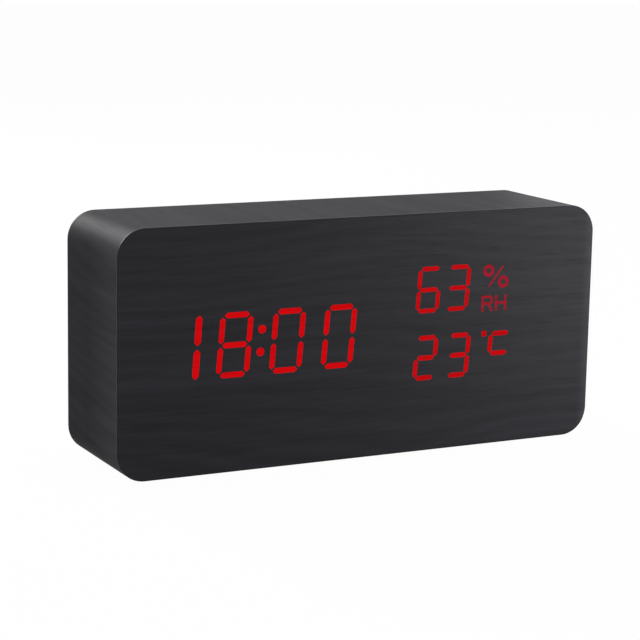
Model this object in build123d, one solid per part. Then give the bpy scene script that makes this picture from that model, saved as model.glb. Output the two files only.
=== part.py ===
from build123d import *
from math import cos, hypot, pi, sin, sqrt
import os

os.makedirs("parts", exist_ok=True)

# A digital LED desk clock: a fibreboard block wrapped in wood-grain foil, with a segment display that
# shines through the front foil and a plastic back with three buttons, a USB socket and a battery door.
# Millimetres. +Z is up, the display faces -Y, and the origin is the middle of the base.

# Case
case_width = 150.0
case_height = 69.0
case_depth = 38.0
case_corner_radius = 8.0
foil_thickness = 0.6
foil_edge_radius = 0.3
side_wall = case_width * 11.0 / 150.0
top_wall = 8.5
front_wall = 5.0
cavity_corner_radius = 5.0

# Segment display: its spacings chain up from face to face, and stretch to fill the case
digit_slant = 0.079
digit_width = 8.35
digit_height = 16.5
digit_stroke = 1.6
digit_gap = 0.42
digit_pitch = 15.97
time_rise = 1.15
second_digit_inset = 34.2
leading_one_offset = 11.13
leading_one_slant = 0.065
leading_one_stroke = 1.95
leading_one_height = 18.6
colon_offset = 7.9
colon_dot_diameter = 2.4
colon_upper_rise = 3.75
colon_lower_drop = 2.55
time_reading_spacing = 28.51
reading_spacing = 19.7
reading_slant = 0.068
reading_gap = 0.2
humidity_digit_width = 6.35
humidity_digit_height = 12.05
humidity_stroke = 1.28
humidity_top_inset = 22.0
humidity_units_inset = 45.7
humidity_digit_pitch = 9.65
temperature_digit_width = 6.15
temperature_digit_height = 11.6
temperature_stroke = 1.42
temperature_base_inset = 27.3
temperature_units_inset = 45.05
temperature_digit_pitch = 10.8
celsius_offset = 13.6
celsius_drop = 0.35
degree_dot_offset = 8.55
degree_dot_rise = 5.65
degree_dot_size = 1.65
percent_offset = 12.6
percent_rise = 2.6
percent_ring_diameter = 3.6
percent_hole_diameter = 1.7
percent_ring_spread = 2.5
percent_ring_lift = 1.75
percent_slash_half_run = 2.4
percent_slash_half_rise = 3.0
percent_slash_stroke = 0.5
letter_height = 4.6
letter_width = 3.8
letter_stroke = 0.7
letter_bowl_share = 0.4
letter_pitch = 4.6
letters_offset = 12.2
letters_drop = 5.25
segment_corner_radius = 0.22
glow_depth = 0.25

# Display module
diffuser_thickness = 0.25
window_margin = 1.4
window_corner_radius = 1.5
module_lip = 5.0
module_corner_radius = 5.0
reflector_flange = 4.0
board_thickness = 1.6
led_length = 1.6
led_width = 0.8
led_height = 0.7

# Back panel
rear_recess = 1.2
panel_thickness = 2.0
panel_overlap_side = 6.5
panel_overlap_top = 2.5
panel_corner_radius = 5.0
panel_edge_radius = 0.4
panel_screw_rise = 16.0

# Battery bay, cells and contacts
cell_diameter = 10.5
cell_length = 44.5
cell_nub_diameter = 3.8
cell_nub_height = 0.8
cell_edge_radius = 0.6
cell_gap = 0.4
bay_wall = 1.0
bay_floor = 1.5
bay_edge_distance = 1.5
bay_rib_width = 1.6
bay_rib_height = 1.5
contact_thickness = 0.5
contact_size = 8.0
contact_bump_height = 1.0
contact_bump_diameter = 3.0
contact_tail_width = 2.4
contact_tail_reach = 2.4
spring_length = 6.0
spring_wire = 0.6
spring_base_diameter = 6.4
spring_tip_diameter = 4.4
spring_turns = 4

# Battery door
door_thickness = 1.6
door_overlap = 1.5
door_corner_radius = 2.0
door_tab_width = 7.0
door_tab_spacing = 34.0
door_tab_thickness = 1.2
door_tab_reach = 2.0
latch_width = 10.0
latch_thickness = 1.0
latch_reach = 4.5
latch_inset = 0.6
latch_catch_height = 0.5
latch_catch_thickness = 0.8
grip_rib_count = 4
grip_rib_length = 12.0
grip_rib_width = 0.8
grip_rib_height = 0.4
grip_rib_pitch = 1.8
finger_notch_radius = 5.0
finger_notch_depth = 1.0

# Control board, buttons and switches
control_board_standoff = 8.2
post_diameter = 5.2
post_inset = 6.0
button_length = 10.0
button_width = 5.4
button_proud = 0.8
button_edge_radius = 0.5
button_pitch = 16.0
button_drop = 14.0
button_flange_lip = 1.1
button_flange_thickness = 0.8
button_stem_diameter = 3.6
switch_size = 6.0
switch_height = 3.5
switch_leg_width = 0.7
switch_leg_reach = 1.0
switch_leg_height = 0.4
switch_leg_spacing = 4.0
plunger_diameter = 3.4
plunger_height = 1.5
plunger_depth = 1.0
button_travel = 0.5

# Socket, sounder and sensors
usb_width = 7.6
usb_height = 2.9
usb_chamfer = 0.9
usb_shell = 0.3
usb_mouth_depth = 0.4
usb_base_length = 4.0
usb_tongue_width = 3.8
usb_tongue_thickness = 0.7
usb_tongue_setback = 0.7
usb_inset = 14.0
usb_rise = 11.0
buzzer_diameter = 12.0
buzzer_height = 6.5
buzzer_edge_radius = 0.5
buzzer_port_diameter = 2.0
buzzer_port_depth = 2.0
buzzer_rise = 17.0
sound_hole_diameter = 1.5
sound_hole_count = 6
sound_ring_radius = 3.2
microphone_diameter = 6.0
microphone_height = 5.0
microphone_rim = 0.5
microphone_recess = 0.3
microphone_rise = 22.0
vent_slot_count = 5
vent_slot_length = 14.0
vent_slot_width = 1.2
vent_slot_pitch = 2.6
usb_sensor_spacing = 35.5
sensor_inset = 18.0
sensor_rise = 18.0
humidity_sensor_width = 8.0
humidity_sensor_length = 10.0
humidity_sensor_height = 5.0
humidity_sensor_slots = 4
humidity_sensor_slot_width = 0.7
humidity_sensor_slot_depth = 1.0
thermistor_diameter = 2.4
thermistor_leg = 0.5
thermistor_leg_spacing = 1.4
thermistor_rise = 4.0
thermistor_gap = 3.0

# Chips and small components
chip_length = 17.9
chip_width = 7.5
chip_height = 2.3
chip_standoff = 0.1
chip_lead_count = 14
chip_lead_pitch = 1.27
chip_lead_width = 0.42
chip_lead_reach = 1.4
chip_lead_thickness = 0.25
driver_chip_inset = 24.0
crystal_diameter = 2.0
crystal_length = 6.0
crystal_lead = 0.4
crystal_lead_spacing = 0.7
crystal_lead_reach = 1.5
capacitor_diameter = 5.0
capacitor_height = 5.5
capacitor_groove_depth = 0.3
capacitor_groove_width = 0.6
capacitor_groove_rise = 0.9
resistor_length = 2.0
resistor_width = 1.25
resistor_height = 0.5
resistor_count = 8
resistor_pitch = 3.0

# Leads
socket_length = 14.0
socket_width = 5.0
socket_height = 4.0
ribbon_width = 10.2
ribbon_thickness = 0.9
ribbon_drop = 5.8
ribbon_span = 30.0
ribbon_rise = 14.0
ribbon_socket_inset = 17.0
ribbon_bend_share = 0.75
wire_diameter = 1.2
red_wire_bend_share = 0.6
black_wire_reach = 11.0
black_wire_bend_share = 0.7

# Screws
panel_screw_diameter = 2.6
panel_screw_length = 10.0
panel_screw_head_diameter = 4.6
display_screw_diameter = 2.2
display_screw_bite = 4.0
display_screw_head_diameter = 3.8
display_screw_head_height = 1.5
display_screw_edge = 6.0
screw_head_round = 0.45
board_screw_diameter = 2.0
board_screw_bite = 5.0
board_screw_head_diameter = 3.8
board_screw_head_height = 1.4
cross_slot_width = 0.6
cross_slot_depth = 0.7
cross_slot_margin = 0.8

# Clearances
panel_clearance = 0.3
window_clearance = 0.3
module_clearance = 0.5
board_clearance = 0.5
door_clearance = 0.25
door_seat_gap = 0.1
cell_clearance = 0.1
bay_side_clearance = 0.4
tab_clearance = 0.4
tab_panel_gap = 0.2
latch_clearance = 0.5
button_clearance = 0.2
button_seat_gap = 0.1
plunger_clearance = 0.1
thread_clearance = 0.05
screw_hole_clearance = 0.2
contact_slot_clearance = 0.2
usb_opening_clearance = 0.8
crystal_seat_gap = 0.02

# How far the display's chains of spacings stretch to fill this case
time_chain = second_digit_inset + 2 * digit_pitch
humidity_chain = humidity_digit_pitch + humidity_units_inset
across = case_width / (time_chain + time_reading_spacing + humidity_chain)
upright = case_height / (humidity_top_inset + reading_spacing + temperature_base_inset)

# Planes from front to back
front_y = -case_depth / 2
back_y = case_depth / 2
core_front_y = front_y + foil_thickness
core_back_y = back_y - foil_thickness
cavity_front_y = core_front_y + front_wall
diffuser_back_y = core_front_y + diffuser_thickness
display_board_front_y = cavity_front_y + reflector_flange
display_board_back_y = display_board_front_y + board_thickness
panel_outer_y = back_y - rear_recess
panel_inner_y = panel_outer_y - panel_thickness
control_board_back_y = panel_inner_y - control_board_standoff
control_board_front_y = control_board_back_y - board_thickness
door_inner_y = panel_outer_y - door_thickness
bay_floor_y = door_inner_y - door_seat_gap - cell_diameter - 2 * cell_clearance
bay_outer_y = bay_floor_y - bay_floor
board_gap = control_board_front_y - display_board_back_y

# Outlines seen from the front
left_x = -case_width / 2
right_x = case_width / 2
mid_z = case_height / 2
cavity_width = case_width - 2 * side_wall
cavity_height = case_height - 2 * top_wall
cavity_left = -cavity_width / 2
cavity_right = cavity_width / 2
cavity_bottom = mid_z - cavity_height / 2
cavity_top = mid_z + cavity_height / 2
panel_width = cavity_width + 2 * panel_overlap_side
panel_height = cavity_height + 2 * panel_overlap_top

# Battery bay
cell_pitch = cell_diameter + cell_gap
bay_length = cell_length + spring_length + 2 * contact_thickness + contact_bump_height
bay_height = 3 * cell_diameter + 2 * cell_gap + 2 * bay_side_clearance
door_width = bay_length + 2 * door_overlap
door_height = bay_height + 2 * door_overlap
opening_width = door_width + 2 * door_clearance
opening_height = door_height + 2 * door_clearance
tub_width = opening_width + 2 * bay_wall
tub_height = opening_height + 2 * bay_wall
tub_right = cavity_right - bay_edge_distance
tub_left = tub_right - tub_width
bay_x = (tub_left + tub_right) / 2
bay_left = bay_x - bay_length / 2
bay_right = bay_x + bay_length / 2
cell_y = bay_floor_y + cell_clearance + cell_diameter / 2
top_cell_z = mid_z + cell_pitch
bottom_cell_z = mid_z - cell_pitch

# Door hinge axis: the middle of the door's round top edge
door_top = mid_z + door_height / 2
door_bottom = mid_z - door_height / 2
door_axis_y = panel_outer_y - door_thickness / 2
door_axis_z = door_top - door_thickness / 2
door_tab_places = [bay_x - door_tab_spacing / 2, bay_x + door_tab_spacing / 2]
tab_outer_y = panel_inner_y - tab_panel_gap
tab_inner_y = tab_outer_y - door_tab_thickness

# Control board
board_left = cavity_left + board_clearance
board_right = tub_left - board_clearance
board_bottom = cavity_bottom + board_clearance
board_top = cavity_top - board_clearance
board_x = (board_left + board_right) / 2
board_width = board_right - board_left
board_height = board_top - board_bottom
board_stretch = board_width / (usb_inset + usb_sensor_spacing + sensor_inset)
button_z = cavity_top - button_drop * upright
button_step = button_pitch * board_stretch
button_span = button_length * board_stretch
button_places = {
    "set": board_x + button_step,
    "up": board_x,
    "down": board_x - button_step,
}
usb_x = board_left + usb_inset * board_stretch
usb_z = cavity_bottom + usb_rise * upright
buzzer_z = cavity_bottom + buzzer_rise * upright
microphone_z = cavity_bottom + microphone_rise * upright
sensor_x = board_right - sensor_inset * board_stretch
sensor_z = cavity_bottom + sensor_rise * upright
vent_span = vent_slot_length * board_stretch
switch_top_y = control_board_back_y + switch_height
plunger_top_y = switch_top_y + plunger_height
usb_mouth_y = panel_outer_y - usb_mouth_depth

# Display places and spacings on this case
second_digit_x = left_x + second_digit_inset * across
time_z = mid_z + time_rise * upright
humidity_z = case_height - humidity_top_inset * upright
humidity_units_x = right_x - humidity_units_inset * across
humidity_places = [humidity_units_x - humidity_digit_pitch * across, humidity_units_x]
temperature_z = temperature_base_inset * upright
temperature_units_x = right_x - temperature_units_inset * across
temperature_places = [temperature_units_x - temperature_digit_pitch * across, temperature_units_x]
celsius_x = temperature_units_x + celsius_offset * across
degree_x = temperature_units_x + degree_dot_offset * across
degree_z = temperature_z + degree_dot_rise * upright
percent_x = humidity_units_x + percent_offset * across
percent_z = humidity_z + percent_rise * upright
percent_spread = percent_ring_spread * across
percent_lift = percent_ring_lift * upright
slash_run = percent_slash_half_run * across
slash_rise = percent_slash_half_rise * upright
letters_x = humidity_units_x + letters_offset * across
letters_z = humidity_z - letters_drop * upright
letter_span = letter_width * across
letter_rise = letter_height * upright
letter_step = letter_pitch * across

# Segments of each shape, as on any seven-segment digit
segments_of = {
    "1": "bc",
    "2": "abged",
    "3": "abgcd",
    "6": "afgedc",
    "8": "abcdefg",
    "0": "abcdef",
    "C": "afg",
    "unit": "afge",
}


def slab(outline, y_front, y_back):
    """An outline drawn as (x, z), as a plate between two planes."""
    plane = Plane(origin=(0, y_back, 0), x_dir=(1, 0, 0), z_dir=(0, -1, 0))
    return extrude(plane * outline, amount=y_back - y_front, dir=(0, -1, 0))


def block(x0, x1, y0, y1, z0, z1):
    """A box between three pairs of planes."""
    middle = Pos((x0 + x1) / 2, (y0 + y1) / 2, (z0 + z1) / 2)
    return middle * Box(x1 - x0, y1 - y0, z1 - z0)


def rod(x, z, diameter, y_front, y_back):
    """A round rod along Y."""
    return slab(Pos(x, z) * Circle(diameter / 2), y_front, y_back)


def rod_along_x(x0, x1, y, z, diameter):
    """A round rod along X."""
    plane = Plane(origin=(x0, y, z), x_dir=(0, 1, 0), z_dir=(1, 0, 0))
    return extrude(plane * Circle(diameter / 2), amount=x1 - x0)


def case_outline(inset):
    """The case seen from the front, drawn in by an inset."""
    width = case_width - 2 * inset
    height = case_height - 2 * inset
    return Pos(0, mid_z) * RectangleRounded(width, height, case_corner_radius - inset)


def panel_outline(offset):
    """The back panel seen from the front, grown by an offset."""
    width = panel_width + 2 * offset
    height = panel_height + 2 * offset
    return Pos(0, mid_z) * RectangleRounded(width, height, panel_corner_radius + offset)


# Segment shapes

def bar_points(x0, z0, x1, z1, stroke, gap):
    """A bar with pointed ends along the line between two corners of a digit."""
    length = hypot(x1 - x0, z1 - z0)
    along = ((x1 - x0) / length, (z1 - z0) / length)
    half = stroke / 2
    ends = [gap, gap + half, length - gap - half, length - gap, length - gap - half, gap + half]
    sides = [0, -half, -half, 0, half, half]
    points = []
    for reach, side in zip(ends, sides):
        x = x0 + along[0] * reach - along[1] * side
        z = z0 + along[1] * reach + along[0] * side
        points.append((x, z))
    return points


def rounded(points):
    """A polygon with softened corners."""
    shape = Polygon(*points)
    return fillet(shape.vertices(), segment_corner_radius)


def digit_bars(segments, x, z, width, height, stroke, gap, slant):
    """The segments of one slanted digit, as point lists with their middle and direction."""
    left, right, half = -width / 2, width / 2, height / 2
    corners = {
        "a": (left, half, right, half),
        "b": (right, 0, right, half),
        "c": (right, -half, right, 0),
        "d": (left, -half, right, -half),
        "e": (left, -half, left, 0),
        "f": (left, 0, left, half),
        "g": (left, 0, right, 0),
    }
    bars = []
    for name in segments:
        x0, z0, x1, z1 = corners[name]
        points = bar_points(x0, z0, x1, z1, stroke, gap)
        leaning = [(x + px + slant * pz, z + pz) for px, pz in points]
        middle = (x + (x0 + x1) / 2 + slant * (z0 + z1) / 2, z + (z0 + z1) / 2)
        bars.append({"points": leaning, "middle": middle, "upright": x0 == x1})
    return bars


def time_digit(shape, place):
    x = second_digit_x + digit_pitch * across * place
    width, height = digit_width * across, digit_height * upright
    size = (width, height, digit_stroke, digit_gap, digit_slant)
    return digit_bars(segments_of[shape], x, time_z, *size)


def leading_one():
    """The leading 1: two longer and wider bars on one line."""
    x = second_digit_x - leading_one_offset * across
    size = (0, leading_one_height * upright, leading_one_stroke, digit_gap, leading_one_slant)
    return digit_bars(segments_of["1"], x, time_z, *size)


def humidity_digit(shape, x):
    width, height = humidity_digit_width * across, humidity_digit_height * upright
    size = (width, height, humidity_stroke, reading_gap, reading_slant)
    return digit_bars(segments_of[shape], x, humidity_z, *size)


def temperature_digit(shape, x, drop=0):
    width, height = temperature_digit_width * across, temperature_digit_height * upright
    size = (width, height, temperature_stroke, reading_gap, reading_slant)
    return digit_bars(segments_of[shape], x, temperature_z - drop * upright, *size)


def colon_places():
    x = second_digit_x + colon_offset * across
    rise, drop = colon_upper_rise * upright, colon_lower_drop * upright
    upper = (x + digit_slant * rise, time_z + rise)
    lower = (x - digit_slant * drop, time_z - drop)
    return [upper, lower]


def time_bars():
    bars = leading_one()
    for place, shape in enumerate("800"):
        bars += time_digit(shape, place)
    return bars


def humidity_bars():
    return humidity_digit("6", humidity_places[0]) + humidity_digit("3", humidity_places[1])


def temperature_bars():
    return temperature_digit("2", temperature_places[0]) + temperature_digit("3", temperature_places[1])


def well_bars():
    """Every segment that the display can light, lit now or not."""
    bars = leading_one()
    for place in range(3):
        bars += time_digit("8", place)
    for x in humidity_places:
        bars += humidity_digit("8", x)
    for x in temperature_places:
        bars += temperature_digit("8", x)
    return bars + temperature_digit("unit", celsius_x, celsius_drop)


def percent_faces():
    """Two rings and the slash between them."""
    upper = Pos(percent_x - percent_spread, percent_z + percent_lift)
    lower = Pos(percent_x + percent_spread, percent_z - percent_lift)
    ring = Circle(percent_ring_diameter / 2) - Circle(percent_hole_diameter / 2)
    foot = (percent_x - slash_run, percent_z - slash_rise)
    head = (percent_x + slash_run, percent_z + slash_rise)
    slash = bar_points(*foot, *head, percent_slash_stroke, 0)
    return [upper * ring, lower * ring, Polygon(*slash)]


def letter_bowl(inset):
    """The upper half of the R, round on its right side."""
    height = (letter_rise + letter_stroke) / 2
    outline = Rectangle(letter_span - 2 * inset, height - 2 * inset)
    outline = fillet(outline.vertices().group_by(Axis.X)[-1], letter_bowl_share * height - inset)
    return Pos(0, (letter_rise - letter_stroke) / 4) * outline


def letter_faces():
    """The letters R and H in plain strokes."""
    half_w = (letter_span - letter_stroke) / 2
    post = Rectangle(letter_stroke, letter_rise)
    beam = Rectangle(letter_span, letter_stroke)
    posts = Pos(-half_w, 0) * post + Pos(half_w, 0) * post
    letter_h = posts + beam
    edge, foot = letter_span / 2, -letter_rise / 2
    leg = Polygon((0, 0), (edge - letter_stroke, foot), (edge, foot), (letter_stroke, 0))
    letter_r = letter_bowl(0) - letter_bowl(letter_stroke) + Pos(-half_w, 0) * post + leg
    places = [letters_x - letter_step / 2, letters_x + letter_step / 2]
    return [Pos(places[0], letters_z) * letter_r, Pos(places[1], letters_z) * letter_h]


def degree_face():
    dot = RectangleRounded(degree_dot_size, degree_dot_size, segment_corner_radius)
    return Pos(degree_x, degree_z) * dot


def glow(faces):
    """Lit patches of the front foil: its outer skin where the light comes out."""
    return Compound([slab(face, front_y, front_y + glow_depth).solid() for face in faces])


time_faces = [rounded(bar["points"]) for bar in time_bars()]
time_faces += [Pos(x, z) * Circle(colon_dot_diameter / 2) for x, z in colon_places()]
humidity_faces = [rounded(bar["points"]) for bar in humidity_bars()]
temperature_faces = [rounded(bar["points"]) for bar in temperature_bars()]
celsius_faces = [rounded(bar["points"]) for bar in temperature_digit("C", celsius_x, celsius_drop)]
unit_faces = percent_faces() + letter_faces() + [degree_face()] + celsius_faces

# Window in the front wall, which leaves a margin round all the light wells
wells = well_bars()
percent_well = Rectangle(2 * percent_spread + percent_ring_diameter, 2 * slash_rise)
letters_well = Rectangle(letter_step + letter_span, letter_rise)
well_faces = [Polygon(*bar["points"]) for bar in wells]
well_faces += [Pos(x, z) * Circle(colon_dot_diameter / 2) for x, z in colon_places()]
well_faces.append(degree_face())
well_faces.append(Pos(percent_x, percent_z) * percent_well)
well_faces.append(Pos(letters_x, letters_z) * letters_well)
well_boxes = [face.bounding_box() for face in well_faces]
window_left = min(box.min.X for box in well_boxes) - window_margin
window_right = max(box.max.X for box in well_boxes) + window_margin
window_bottom = min(box.min.Y for box in well_boxes) - window_margin
window_top = max(box.max.Y for box in well_boxes) + window_margin
module_left = window_left - module_lip
module_right = window_right + module_lip
module_bottom = cavity_bottom + module_clearance
module_top = cavity_top - module_clearance
display_screw_places = [
    (x, z)
    for x in (module_left + module_lip / 2, module_right - module_lip / 2)
    for z in (module_bottom + display_screw_edge, module_top - display_screw_edge)
]
panel_screw_places = [
    (x, z)
    for x in (cavity_left - panel_overlap_side / 2, cavity_right + panel_overlap_side / 2)
    for z in (mid_z - panel_screw_rise, mid_z + panel_screw_rise)
]
post_places = [
    (x, z)
    for x in (board_left + post_inset, board_right - post_inset)
    for z in (board_bottom + post_inset * upright, board_top - post_inset * upright)
]


def window_outline(inset):
    width = window_right - window_left - 2 * inset
    height = window_top - window_bottom - 2 * inset
    middle = Pos((window_left + window_right) / 2, (window_bottom + window_top) / 2)
    return middle * RectangleRounded(width, height, window_corner_radius)


def module_outline():
    width = module_right - module_left
    height = module_top - module_bottom
    middle = Pos((module_left + module_right) / 2, (module_bottom + module_top) / 2)
    return middle * RectangleRounded(width, height, module_corner_radius)


# Case and foil

def make_case_core():
    core = slab(case_outline(foil_thickness), core_front_y, core_back_y)
    cavity = Pos(0, mid_z) * RectangleRounded(cavity_width, cavity_height, cavity_corner_radius)
    core -= slab(cavity, cavity_front_y, core_back_y)
    core -= slab(panel_outline(panel_clearance), panel_inner_y, core_back_y)
    core -= slab(window_outline(0), core_front_y, cavity_front_y)
    for x, z in display_screw_places:
        core -= rod(x, z, display_screw_diameter, cavity_front_y - display_screw_bite, cavity_front_y)
    for x, z in panel_screw_places:
        core -= rod(x, z, panel_screw_diameter, panel_outer_y - panel_screw_length, panel_inner_y)
    return core


def make_front_veneer():
    """The front foil sheet, with a shallow pocket for each lit patch of its skin."""
    sheet = slab(case_outline(0), front_y, core_front_y)
    sheet = fillet(sheet.edges().group_by(Axis.Y)[0], foil_edge_radius)
    lit = [time_segments, humidity_segments, temperature_segments, unit_marks]
    return sheet - [patch for group in lit for patch in group.solids()]


def make_wrap_veneer():
    """The foil that goes up one side, over the top and down the other side."""
    ring = slab(case_outline(0) - case_outline(foil_thickness), core_front_y, core_back_y)
    return ring - make_base_veneer()


def make_base_veneer():
    """The flat foil strip under the base, between the rounded corners."""
    half = case_width / 2 - case_corner_radius
    return block(-half, half, core_front_y, core_back_y, 0, foil_thickness)


def make_rear_veneer():
    ring = slab(case_outline(0), core_back_y, back_y)
    ring = fillet(ring.edges().group_by(Axis.Y)[-1], foil_edge_radius)
    return ring - slab(panel_outline(panel_clearance), core_back_y, back_y)


# Display module

def make_diffuser_film():
    return slab(window_outline(window_clearance), core_front_y, diffuser_back_y)


def make_reflector_block():
    """A plug in the window and a flange behind the front wall, with one light well per segment."""
    plug = slab(window_outline(window_clearance) - well_faces, diffuser_back_y, cavity_front_y)
    flange = slab(module_outline() - well_faces, cavity_front_y, display_board_front_y)
    reflector = plug + flange
    for x, z in display_screw_places:
        hole = display_screw_diameter + screw_hole_clearance
        reflector -= rod(x, z, hole, cavity_front_y, display_board_front_y)
    return reflector


def make_display_board():
    board = slab(module_outline(), display_board_front_y, display_board_back_y)
    for x, z in display_screw_places:
        hole = display_screw_diameter + screw_hole_clearance
        board -= rod(x, z, hole, display_board_front_y, display_board_back_y)
    return board


def light_chip(x, z, upright):
    wide = led_width if upright else led_length
    tall = led_length if upright else led_width
    tip_y = display_board_front_y - led_height
    return block(x - wide / 2, x + wide / 2, tip_y, display_board_front_y, z - tall / 2, z + tall / 2)


def make_led_chips():
    """One chip at the foot of each light well."""
    chips = [light_chip(*bar["middle"], bar["upright"]) for bar in wells]
    chips += [light_chip(x, z, False) for x, z in colon_places()]
    chips.append(light_chip(degree_x, degree_z, False))
    chips += [light_chip(percent_x + side * percent_spread, percent_z, True) for side in (-1, 1)]
    chips += [light_chip(letters_x + side * letter_step / 2, letters_z, True) for side in (-1, 1)]
    return Compound([chip.solid() for chip in chips])


def chip_package(x, z, y_board, side):
    """A small-outline chip with its leads on a board face; side is the way that the face looks."""
    near = y_board + side * chip_standoff
    far = y_board + side * (chip_standoff + chip_height)
    half_l, half_w = chip_length / 2, chip_width / 2
    package = block(x - half_l, x + half_l, min(near, far), max(near, far), z - half_w, z + half_w)
    lead_far = y_board + side * (chip_standoff + chip_lead_thickness)
    for index in range(chip_lead_count):
        lead_x = x + (index - (chip_lead_count - 1) / 2) * chip_lead_pitch
        package += block(
            lead_x - chip_lead_width / 2,
            lead_x + chip_lead_width / 2,
            min(y_board, lead_far),
            max(y_board, lead_far),
            z - half_w - chip_lead_reach,
            z + half_w + chip_lead_reach,
        )
    return package


def make_driver_chip():
    return chip_package(module_right - driver_chip_inset, mid_z, display_board_back_y, 1)


# Screws

def cross_slots(head_diameter):
    """The cross cut in a screw head, from its top down."""
    reach = head_diameter - 2 * cross_slot_margin
    bar_x = Pos(0, 0, -cross_slot_depth / 2) * Box(reach, cross_slot_width, cross_slot_depth)
    bar_y = Pos(0, 0, -cross_slot_depth / 2) * Box(cross_slot_width, reach, cross_slot_depth)
    return bar_x + bar_y


def pan_screw(diameter, length, head_diameter, head_height):
    """A pan-head screw along Z, its seat at zero and its head up."""
    down = (Align.CENTER, Align.CENTER, Align.MAX)
    up = (Align.CENTER, Align.CENTER, Align.MIN)
    head = Cylinder(head_diameter / 2, head_height, align=up)
    head = fillet(head.edges().group_by(Axis.Z)[-1], screw_head_round)
    shank = Cylinder(diameter / 2 - thread_clearance, length, align=down)
    return head + shank - Pos(0, 0, head_height) * cross_slots(head_diameter)


def countersunk_screw(diameter, length, head_diameter):
    """A countersunk screw along Z, its flat top at zero."""
    down = (Align.CENTER, Align.CENTER, Align.MAX)
    depth = (head_diameter - diameter) / 2
    head = Cone(diameter / 2 - thread_clearance, head_diameter / 2 - thread_clearance, depth, align=down)
    shank = Cylinder(diameter / 2 - thread_clearance, length, align=down)
    return head + shank - cross_slots(head_diameter)


def screws_at(screw, places, y, side):
    """Copies of a screw with its head towards +Y or -Y."""
    copies = []
    for x, z in places:
        plane = Plane(origin=(x, y, z), x_dir=(1, 0, 0), z_dir=(0, side, 0))
        copies.append((plane * screw).solid())
    return Compound(copies)


def make_display_screws():
    length = board_thickness + reflector_flange + display_screw_bite
    head, height = display_screw_head_diameter, display_screw_head_height
    screw = pan_screw(display_screw_diameter, length, head, height)
    return screws_at(screw, display_screw_places, display_board_back_y, 1)


def make_rear_panel_screws():
    screw = countersunk_screw(panel_screw_diameter, panel_screw_length, panel_screw_head_diameter)
    return screws_at(screw, panel_screw_places, panel_outer_y, 1)


def make_control_board_screws():
    length = board_thickness + board_screw_bite
    head, height = board_screw_head_diameter, board_screw_head_height
    screw = pan_screw(board_screw_diameter, length, head, height)
    return screws_at(screw, post_places, control_board_front_y, -1)


# Back panel

def bay_outline():
    return Pos(bay_x, mid_z) * Rectangle(bay_length, bay_height)


def door_opening():
    opening = Pos(bay_x, mid_z) * Rectangle(opening_width, opening_height)
    return fillet(opening.vertices().group_by(Axis.Y)[0], door_corner_radius)


def make_battery_tub():
    """The walls, the floor and the floor ribs of the battery bay."""
    tub = slab(Pos(bay_x, mid_z) * Rectangle(tub_width, tub_height), bay_outer_y, panel_inner_y)
    tub = fillet(tub.edges().filter_by(Axis.Y), door_corner_radius)
    tub -= slab(bay_outline(), bay_floor_y, panel_inner_y)
    rib_clear = contact_thickness + contact_bump_height
    for side in (-1, 1):
        rib_z = mid_z + side * cell_pitch / 2
        tub += block(
            bay_left + rib_clear,
            bay_right - rib_clear,
            bay_floor_y,
            bay_floor_y + bay_rib_height,
            rib_z - bay_rib_width / 2,
            rib_z + bay_rib_width / 2,
        )
    return tub


def tab_slots():
    """Room in the top wall of the bay for the door's two tabs, which swing inwards."""
    half = door_tab_width / 2 + tab_clearance
    reach = hypot(door_axis_y - tab_inner_y, door_tab_reach) + tab_clearance
    bay_top = mid_z + bay_height / 2
    outside = door_axis_z + door_tab_reach + tab_clearance
    slots = []
    opening_top = mid_z + opening_height / 2
    for x in door_tab_places:
        x0, x1 = x - half, x + half
        slots.append(block(x0, x1, door_axis_y - reach, panel_inner_y, bay_top - reach, outside))
        slots.append(block(x0, x1, panel_inner_y, door_inner_y, bay_top, opening_top))
    return slots


def latch_slot():
    """Room in the bottom wall of the bay for the door's latch tongue."""
    half = latch_width / 2 + latch_clearance
    deep = door_inner_y - latch_reach - latch_clearance
    low = mid_z - opening_height / 2
    return block(bay_x - half, bay_x + half, deep, door_inner_y, low, mid_z - bay_height / 2)


def contact_slots():
    """Slots for the two contact tails: one in the near end wall and one in the floor."""
    half = contact_tail_width / 2 + contact_slot_clearance
    thick = contact_thickness / 2 + contact_slot_clearance
    low, high = top_cell_z - thick, top_cell_z + thick
    near = block(tub_left, bay_left, cell_y - half, cell_y + half, low, high)
    low, high = bottom_cell_z - half, bottom_cell_z + half
    floor_slot = block(bay_right - 2 * thick, bay_right, bay_outer_y, bay_floor_y, low, high)
    return [near, floor_slot]


def panel_openings():
    """Outlines cut through the panel: buttons, socket, sound holes and vents."""
    long = button_span + 2 * button_clearance
    wide = button_width + 2 * button_clearance
    openings = [Pos(x, button_z) * SlotOverall(long, wide) for x in button_places.values()]
    usb_long = usb_width + 2 * usb_opening_clearance
    usb_wide = usb_height + 2 * usb_opening_clearance
    openings.append(Pos(usb_x, usb_z) * RectangleRounded(usb_long, usb_wide, usb_opening_clearance))
    hole = Circle(sound_hole_diameter / 2)
    openings.append(Pos(board_x, buzzer_z) * hole)
    for index in range(sound_hole_count):
        angle = 2 * pi * index / sound_hole_count
        x = board_x + sound_ring_radius * cos(angle)
        openings.append(Pos(x, buzzer_z + sound_ring_radius * sin(angle)) * hole)
    openings.append(Pos(usb_x, microphone_z) * hole)
    for index in range(vent_slot_count):
        z = sensor_z + (index - (vent_slot_count - 1) / 2) * vent_slot_pitch
        openings.append(Pos(sensor_x, z) * SlotOverall(vent_span, vent_slot_width))
    return openings


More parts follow.
